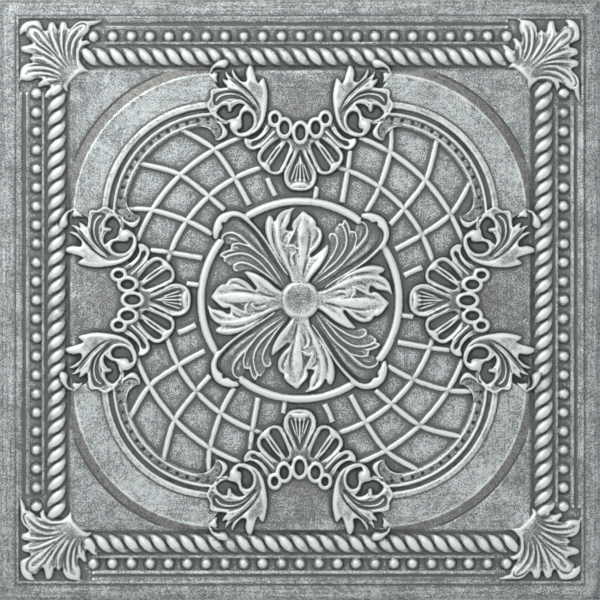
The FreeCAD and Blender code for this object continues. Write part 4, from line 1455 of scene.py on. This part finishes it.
@dataclass(frozen=True)
class Wear:
    """How the finish lies on the relief: rubbed bright, left dark, washed, cleaned, brushed or warm; and where shade
    and highlight are painted into it.
    """

    fine: float = 1.3
    broad: float = 3.2
    wide: float = 9.0
    calm: tuple[Point, ...] = ((10, 1), (12, 0.2), (21, 0.2), (23, 0.5), (26, 0.5), (27, 0.25), (29.2, 0.25),
        (30.2, 0.62), (41.4, 0.62), (42.4, 0.4), (46, 0.4), (47.5, 0.35), (51, 0.38), (55, 0.76), (58.5, 0.76),
        (62, 0.48), (65, 0.38), (66.5, 0.8), (69, 0.3), (74, 0.3), (76, 1))
    hushed: tuple[Point, ...] = (
        (89.5, 1), (90.5, 0.8), (92.8, 0.8), (93.4, 0.15), (98.6, 0.15), (99.6, 0.9), (107.8, 0.9), (109, 0.8),
        (111.4, 0.8), (112.4, 0.9), (138.5, 0.9), (143, 1))
    # Painted shade and highlight across the border's profile, by distance in from the edge: dark at the foot of the
    # step and in the grooves, bright on the fillets and at the outer edge; partly the cleaning of the paint as well.
    trim: tuple[Point, ...] = ((0, 0.5), (1, 0.4), (3, 0.24), (8, 0.27), (13, 0.36), (14, 0.2), (15, -0.6),
        (16, -0.2), (17, 0.34), (18, 0.4), (19.5, 0.2), (21, 0.22), (22, 0.07), (23.5, -0.3), (25, -0.7),
        (26.2, -0.6), (27.1, 0.3), (27.9, 1.0), (28.7, 0.45), (29.6, 0.1), (32, 0.07), (41, 0.07), (42, 0.11),
        (43, 0.32), (44, 0.18), (45, 0.03), (46, -0.1), (68, -0.1), (69, 0.17), (71, 0.24), (74, 0.34), (78, 0.38))
    field: float = 0.36
    cell: float = 0.55
    panel: float = 0.13
    band: float = 0.3
    lifted: float = 0.11
    bead_low: float = 1.8
    bead_high: float = 4.5
    strokes: tuple[Point, ...] = ((0, 1.0), (22, 0.9), (26, 0.3), (68, 0.3), (78, 0.55))
    drawn: float = 0.3
    corner: float = 205.0
    leaf_inset: float = 19.0
    rail_inset: float = 14.0
    rail_calm: float = 0.1
    field_inset: float = 76.0
    channel: Point = (30.0, 41.5)
    band_radii: Point = (93.0, 99.0)
    centre: float = 105.0
    petal_root: Point = (16.0, 22.0)
    petal_soft: float = 0.4
    petal_lift: float = 0.3
    broad_share: float = 0.45
    wide_share: float = 0.12
    leaf_dark: float = 0.6
    scroll_dark: float = 1.15
    band_dark: float = 1.5
    curl_light: float = 0.3
    ring_share: float = 0.85
    ring_half: float = 5.5
    raised_from: float = 5.8
    raised_over: float = 0.9
    raised_light: float = 0.34
    span: Point = (-1.5, 1.2)

    def fields(self, face: Relief) -> dict[str, np.ndarray]:
        """Works out where each state of the finish lies, and where shade and highlight are painted.

        Args:
            face: The pressed face.

        Returns:
            Fields on the face's grid, by name.
        """
        upright = np.abs(CENTRE_Y - face.y) < np.abs(face.x - CENTRE_X)
        brushed = read(self.strokes, face.inset())
        inside = np.where(face.away() < CentreRing().radius, 0.6, 1.0)
        wash = np.maximum(face.wash * np.clip(1 - face.rub, 0, 1) * inside, 0.42 * self.band_mask(face))
        return {"tone": self.tone(face), "wipe_and_shade": self.wipe_and_shade(face), "warm": self.warm(face), "wash": wash,
                "brushed": np.where(upright, -brushed, brushed)}

    def untouched(self) -> dict[str, float]:
        """The finish of the back, which is neither rubbed nor washed and has no painted shade or highlight."""
        return {"tone": 0.0, "wipe_and_shade": self.panel, "warm": 0.0, "wash": 0.0, "brushed": 0.5}

    def band_mask(self, face: Relief) -> np.ndarray:
        """Where the dotted bands and their curled ends lie.

        Args:
            face: The pressed face.

        Returns:
            A mask.
        """
        radius = Quatrefoil().radius(face)
        band = (radius > self.band_radii[0]) & (radius < self.band_radii[1]) | (face.curl > self.drawn)
        return band & (face.wash < self.drawn) & (face.away() > self.centre)

    def tone(self, face: Relief) -> np.ndarray:
        """The rubbing and the painted light: above zero on the raised edges, rubbed bright and given a painted
        highlight, and below it in the hollows, dark with glaze and painted shade.

        Args:
            face: The pressed face.

        Returns:
            The tone.
        """
        fine, broad, wide = (face.z - face.blurred(face.z, spread) for spread in (self.fine, self.broad, self.wide))
        inset = face.inset()
        corner = face.beside() > self.corner
        drawn = face.wash > self.drawn
        plain = (inset > self.field_inset) & ~drawn
        calm = np.where(corner & (inset > self.rail_inset), self.rail_calm, read(self.calm, inset))
        calm = np.where(corner & (inset > self.leaf_inset) | drawn, 1.0, calm)
        rub = face.rub * np.clip((face.away() - self.petal_root[0]) / self.petal_root[1], 0, 1)
        tone = (fine + self.broad_share * broad + self.wide_share * wide) * calm
        tone = tone * (1 - self.petal_soft * rub) + self.petal_lift * rub
        tone = np.where(corner & (tone < 0), tone * self.leaf_dark, tone)
        tone = np.where(plain & (tone > 0), tone * read(self.hushed, Quatrefoil().radius(face)), tone)
        # Painted highlight on the beads, brightest at each bead's top and fading to grey at its rim, and painted
        # shade deepened into a dark ring round its foot.
        beads = (inset > self.channel[0]) & (inset < self.channel[1]) & ~corner
        crown = np.clip((face.z - self.bead_low) / (self.bead_high - self.bead_low), 0, 1) ** 2
        tone = np.where(beads, np.where(tone < 0, np.minimum(2.8 * tone + 0.3, 0), crown), tone)
        ring = np.abs(face.away() - CentreRing().radius) < self.ring_half
        tone = np.where(ring & plain, self.ring_share * tone, tone)
        soft = (face.curl > self.drawn) & ~drawn & (face.z < Quatrefoil().band + 0.5)
        tone = np.where(soft & (tone > 0), tone * self.curl_light, tone)
        tone = np.where(drawn & (tone < 0), tone * self.scroll_dark, tone)
        tone = np.where(self.band_mask(face) & (tone < 0), tone * self.band_dark, tone)
        raised = np.clip((face.z - self.raised_from) / self.raised_over, 0, 1)
        raised = raised * face.wash * np.clip(1 - face.rub, 0, 1)
        tone = np.where(raised > 0.05, np.maximum(tone, self.raised_light * raised), tone)
        return np.clip(tone, *self.span)

    def wipe_and_shade(self, face: Relief) -> np.ndarray:
        """How clean and light the flats are: set by place in the border, where its steps and grooves get painted
        shade and its fillets a painted highlight, and lower beside raised work, where painted shade lies with the
        glaze.

        Args:
            face: The pressed face.

        Returns:
            How clean and how shaded they are.
        """
        inset, radius = face.inset(), Quatrefoil().radius(face)
        # Painted shade: the flats go darker beside raised work, together with the glaze that gathers there.
        edges = np.clip(face.blurred(np.abs(face.z - face.blurred(face.z, 2.0)), 4.0) / 0.5, 0, 1)
        cell = (radius < 88) & (face.away() > 104)
        foil = Quatrefoil()
        panel = (face.beside() < foil.panel_half) & (inset < 125) & (radius > foil.lattice_edge)
        clean = np.where(cell, self.cell - 0.75 * edges,
            self.field - 0.3 * edges + self.lifted * (np.minimum(face.z, 4.6) - 2.4))
        clean = np.where(self.band_mask(face), self.band, clean)
        clean = np.where(panel, self.panel, clean) - 0.4 * np.clip((13 - face.away()) / 6, 0, 1)
        # Out in the border the table of painted shade and highlight takes over.
        inner = np.clip((inset - 72) / 6, 0, 1)
        return face.blurred(clean * inner + read(self.trim, inset) * (1 - inner), 0.6)

    def warm(self, face: Relief) -> np.ndarray:
        """Where the finish is brownish: along the cove and at the foot of the four panels.

        Args:
            face: The pressed face.

        Returns:
            The warmth.
        """
        lobe = np.abs(CENTRE_X - face.x) > Quatrefoil().offset
        lobe = lobe & (np.abs(CENTRE_Y - face.y) > Quatrefoil().offset)
        warm = lobe * np.clip((4.6 - np.abs(Quatrefoil().radius(face) - 146.4)) / 1.5, 0, 1)
        foot = np.exp(-((face.x - CENTRE_X) / 28) ** 2 - ((face.y - 113) / 17) ** 2)
        return np.maximum.reduce([warm] + [np.rot90(0.7 * foot, turn) for turn in range(4)])


@dataclass
class PressedSheet:
    """The tile itself: one thin sheet with the relief on its face and the hollows on its back."""

    side: float
    top: float
    step: float = 0.75
    back_step: float = 2.0
    thickness: float = 0.5
    front_faces: int = 166000
    back_faces: int = 30000
    guide: float = 0.9
    soften: float = 0.35

    def relief(self) -> Relief:
        """Draws the whole relief from the listed strokes.

        Returns:
            The face.
        """
        face = Relief(self.side, self.step)
        Border().draw(face)
        foil = Quatrefoil()
        foil.draw(face)
        CentreRing().draw(face)
        before = face.z.copy()
        foil.curls(face)
        face.curl = face.changed(before)
        rosette = Rosette()
        plain = face.z.copy()
        rosette.draw_fan(face)
        Cartouche().draw(face)
        face.wash = face.changed(plain)
        CornerLeaf().draw(face)
        face.four_fold(before)
        before = face.z.copy()
        rosette.draw_petal(face)
        face.rub = face.changed(before)
        face.four_fold(before)
        rosette.draw_boss(face)
        return face

    def grid(self, name: str, x: np.ndarray, y: np.ndarray, z: np.ndarray, up: bool) -> bpy.types.Mesh:
        """A mesh over an even grid.

        Args:
            name: Its name.
            x: Columns' places in millimetres.
            y: Rows' places in millimetres.
            z: Heights in millimetres.
            up: Whether its faces look up.

        Returns:
            The mesh.
        """
        rows, columns = z.shape
        spots = np.empty((rows, columns, 3), np.float32)
        spots[..., 0], spots[..., 1], spots[..., 2] = x[None, :], y[:, None], z
        corner = (np.arange(rows - 1)[:, None] * columns + np.arange(columns - 1)[None, :]).ravel()
        around = [corner, corner + 1, corner + columns + 1, corner + columns]
        quads = np.stack(around if up else around[::-1], axis=1).astype(np.int32)
        mesh = bpy.data.meshes.new(name)
        mesh.vertices.add(rows * columns)
        mesh.vertices.foreach_set("co", (spots * MM).ravel())
        mesh.loops.add(quads.size)
        mesh.loops.foreach_set("vertex_index", quads.ravel())
        mesh.polygons.add(len(quads))
        mesh.polygons.foreach_set("loop_start", np.arange(0, quads.size, 4, dtype=np.int32))
        mesh.update(calc_edges=True)
        return mesh

    def pressed(self, face: Relief, material: bpy.types.Material) -> None:
        """Presses the repeated work into the drawn face.

        Args:
            face: The face, whose heights are replaced.
            material: The sheet's material.
        """
        rounds = Rounds(material, face.unit, self.thickness * MM)
        dies = {"Beads": rounds.bead_rows(), "Rope": rounds.rope_strands(), "Lattice": rounds.lattice(),
                "Dots": rounds.dot_rows(Quatrefoil().offset)}
        blank = linked("blank", self.grid("blank", face.axis, face.axis, face.z + self.thickness, True))
        tree = Tree("press", {**dies, "Above": 0.1, "Material": material})
        stock = tree.node("GeometryNodeInputPosition", {}, {}).outputs[0]
        split = tree.node("ShaderNodeSeparateXYZ", {}, {0: stock})
        above = tree.node("ShaderNodeCombineXYZ", {}, {
            "X": split.outputs[0], "Y": split.outputs[1], "Z": tree.size("Above")})

        def shown(name: str) -> bpy.types.NodeSocket:
            """The geometry of a named die."""
            return tree.node("GeometryNodeObjectInfo", {"transform_space": "ORIGINAL"}, {
                "Object": tree.size(name)}).outputs["Geometry"]

        def hit(target: bpy.types.NodeSocket) -> bpy.types.NodeSocket:
            """How high a ray from above meets a die.

            Args:
                target: The die's geometry.

            Returns:
                The height, or zero beside the die.
            """
            ray = tree.node("GeometryNodeRaycast", {"data_type": "FLOAT"}, {
                "Target Geometry": target, "Source Position": above.outputs[0],
                "Ray Direction": (0.0, 0.0, -1.0), "Ray Length": 0.2})
            height = tree.node("ShaderNodeSeparateXYZ", {}, {0: ray.outputs["Hit Position"]}).outputs[2]
            return tree.maths("MULTIPLY", height, ray.outputs["Is Hit"])

        raised = tree.node("GeometryNodeJoinGeometry", {}, {0: [shown("Beads"), shown("Rope"), shown("Lattice")]})
        height = tree.maths("MAXIMUM", split.outputs[2], hit(raised.outputs[0]))
        height = tree.maths("SUBTRACT", height, hit(shown("Dots")))
        spot = tree.node("ShaderNodeCombineXYZ", {}, {"X": split.outputs[0], "Y": split.outputs[1], "Z": height})
        moved = tree.node("GeometryNodeSetPosition", {}, {
            "Geometry": tree.entry.outputs["Geometry"], "Position": spot.outputs[0]})
        tree.close(moved.outputs[0])
        mesh = tree.run(blank)
        heights = np.empty(len(mesh.vertices) * 3, np.float32)
        mesh.vertices.foreach_get("co", heights)
        face.z = heights.reshape(face.count, face.count, 3)[..., 2].astype(float) / MM - self.thickness
        bpy.data.objects.remove(blank)
        for die in dies.values():
            bpy.data.objects.remove(die)
        for left in [o for o in bpy.data.objects if o.name.endswith("_host")]:
            bpy.data.objects.remove(left)
        LOG.info("pressed face: %d points", face.count**2)

    def thinned(self, mesh: bpy.types.Mesh, faces: int) -> bpy.types.Mesh:
        """A mesh with fewer triangles, most of them where it bends.

        Args:
            mesh: The mesh.
            faces: How many triangles to keep.

        Returns:
            The thinned mesh.
        """
        host = linked("thinning", mesh)
        modifier = host.modifiers.new("thin", "DECIMATE")
        modifier.ratio = min(1.0, faces / (2 * len(mesh.polygons)))
        modifier.use_collapse_triangulate = True
        graph = bpy.context.evaluated_depsgraph_get()
        made = bpy.data.meshes.new_from_object(host.evaluated_get(graph))
        bpy.data.objects.remove(host)
        return made

    def back_heights(self, face: Relief) -> tuple[np.ndarray, np.ndarray]:
        """The back's heights, everywhere under the face by the sheet's thickness.

        Args:
            face: The face.

        Returns:
            Places along the sides and the heights, in millimetres.
        """
        low = face.z.copy()
        for _ in range(round(self.back_step / face.step)):
            for shift in (-1, 1):
                for axis in (0, 1):
                    low = np.minimum(low, np.roll(low, shift, axis))
        count = 2 * round(self.side / self.back_step / 2) + 1
        places = np.linspace(-self.side / 2, self.side / 2, count)
        x, y = np.meshgrid(places, places)
        return places, np.maximum(face.sampled(low, x, y), 0)

    def build(self, material: bpy.types.Material) -> bpy.types.Object:
        """Builds the closed sheet and stores where its finish is worn, dark or warm, and where shade and highlight
        are painted.

        Args:
            material: The finish.

        Returns:
            The tile.
        """
        face = self.relief()
        self.pressed(face, material)
        face.z = np.clip(face.blurred(face.z, self.soften), 0, self.top - self.thickness)
        wear = Wear()
        worn = wear.fields(face)
        guide = self.grid("front", face.axis, face.axis, face.z + self.guide * worn["tone"], True)
        front = self.thinned(guide, self.front_faces)
        places, heights = self.back_heights(face)
        back = self.thinned(self.grid("back", places, places, heights, False), self.back_faces)
        tile = linked("ceiling_tile_sheet", self.joined(front, back, face))
        tile.data.materials.clear()
        tile.data.materials.append(material)
        tile.data.shade_smooth()
        co = np.empty(len(tile.data.vertices) * 3, np.float32)
        tile.data.vertices.foreach_get("co", co)
        co = co.reshape(-1, 3)
        plain = wear.untouched()
        for name, values in worn.items():
            layer = tile.data.attributes.new(name, "FLOAT", "POINT")
            stored = face.sampled(values, co[:, 0] / MM, co[:, 1] / MM).astype(np.float32)
            stored[len(front.vertices):] = plain[name]
            layer.data.foreach_set("value", stored)
        return tile

    def joined(self, front: bpy.types.Mesh, back: bpy.types.Mesh, face: Relief) -> bpy.types.Mesh:
        """Front and back joined by four rim walls.

        Args:
            front: The thinned face, its points set to the pressed heights here.
            back: The thinned back.
            face: The pressed face.

        Returns:
            One closed mesh.
        """
        spots, faces, edges = [], [], []
        half = self.side / 2 * MM
        for mesh in (front, back):
            base = sum(len(part) for part in spots)
            co = np.empty(len(mesh.vertices) * 3, np.float32)
            mesh.vertices.foreach_get("co", co)
            co = co.reshape(-1, 3)
            if mesh is front:
                co[:, 2] = (face.sampled(face.z, co[:, 0] / MM, co[:, 1] / MM) + self.thickness) * MM
            co[:, 2] = np.maximum(co[:, 2], 0)
            spots.append(co)
            faces += [tuple(base + v for v in polygon.vertices) for polygon in mesh.polygons]
            edges.append((co, base))
        for axis, sign in ((0, 1), (1, 1), (0, -1), (1, -1)):
            rings = []
            for co, base in edges:
                on_edge = np.flatnonzero(np.abs(co[:, axis] - sign * half) < 1e-6)
                order = np.argsort(co[on_edge, 1 - axis] * sign * (1 if axis == 0 else -1))
                rings.append([int(base + v) for v in on_edge[order]])
            faces.append(tuple(rings[1] + rings[0][::-1]))
        mesh = bpy.data.meshes.new("ceiling_tile_sheet")
        mesh.from_pydata(np.vstack(spots).tolist(), [], faces)
        mesh.validate()
        return mesh


@dataclass
class Studio:
    """The pale floor, the soft lights and the camera straight above."""

    floor_side: float = 6.0
    camera_height: float = 2.5
    floor_drop: float = 0.0004
    sheet_face: float = 0.0005
    sensor: float = 36.0
    key_power: float = 26.0
    key_size: float = 1.4
    key_place: tuple[float, float, float] = (-0.9, 1.2, 1.9)
    key_aim: float = 2.2
    world_light: float = 0.62

    def build(self, side: float) -> None:
        """Builds the stage.

        Args:
            side: The tile's side in metres.
        """
        half = self.floor_side / 2
        mesh = bpy.data.meshes.new("floor")
        corners = ((-half, -half), (half, -half), (half, half), (-half, half))
        mesh.from_pydata([(x, y, -self.floor_drop) for x, y in corners], [], [(0, 1, 2, 3)])
        floor = linked("floor", mesh)
        s = Shader("pale_floor")
        mesh.materials.append(s.finished(s.node("ShaderNodeBsdfPrincipled", {}, {
            "Base Color": (0.8, 0.8, 0.79, 1.0), "Roughness": 0.7})))
        world = bpy.data.worlds.new("studio")
        world.use_nodes = True
        world.node_tree.nodes["Background"].inputs["Color"].default_value = (1.0, 1.0, 1.0, 1.0)
        world.node_tree.nodes["Background"].inputs["Strength"].default_value = self.world_light
        bpy.context.scene.world = world
        lamp = bpy.data.lights.new("key", "AREA")
        lamp.energy, lamp.shape, lamp.size = self.key_power, "DISK", self.key_size
        key = linked("key", lamp)
        key.location = self.key_place
        x, y, z = self.key_place
        key.rotation_euler = (-math.atan2(y, z), -math.atan2(-x, self.key_aim), 0.0)
        data = bpy.data.cameras.new("camera")
        data.sensor_width = self.sensor
        data.lens = self.sensor * (self.camera_height - self.sheet_face) / side
        camera = linked("camera", data)
        camera.location = (0.0, 0.0, self.camera_height)
        bpy.context.scene.camera = camera
        bpy.context.scene.view_settings.view_transform = "Standard"


def main() -> None:
    """Builds the tile and the studio."""
    logging.basicConfig(level=logging.INFO, format="%(name)s: %(message)s")
    low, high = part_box("ceiling_tile")
    sheet = PressedSheet(side=(high[0] - low[0]) / MM, top=(high[2] - low[2]) / MM)
    tile = sheet.build(AntiqueSilver().material())
    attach(tile, "root")
    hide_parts("ceiling_tile")
    LOG.info("%s: %d faces", tile.name, len(tile.data.polygons))
    Studio().build(high[0] - low[0])


if __name__ == "__main__":
    main()
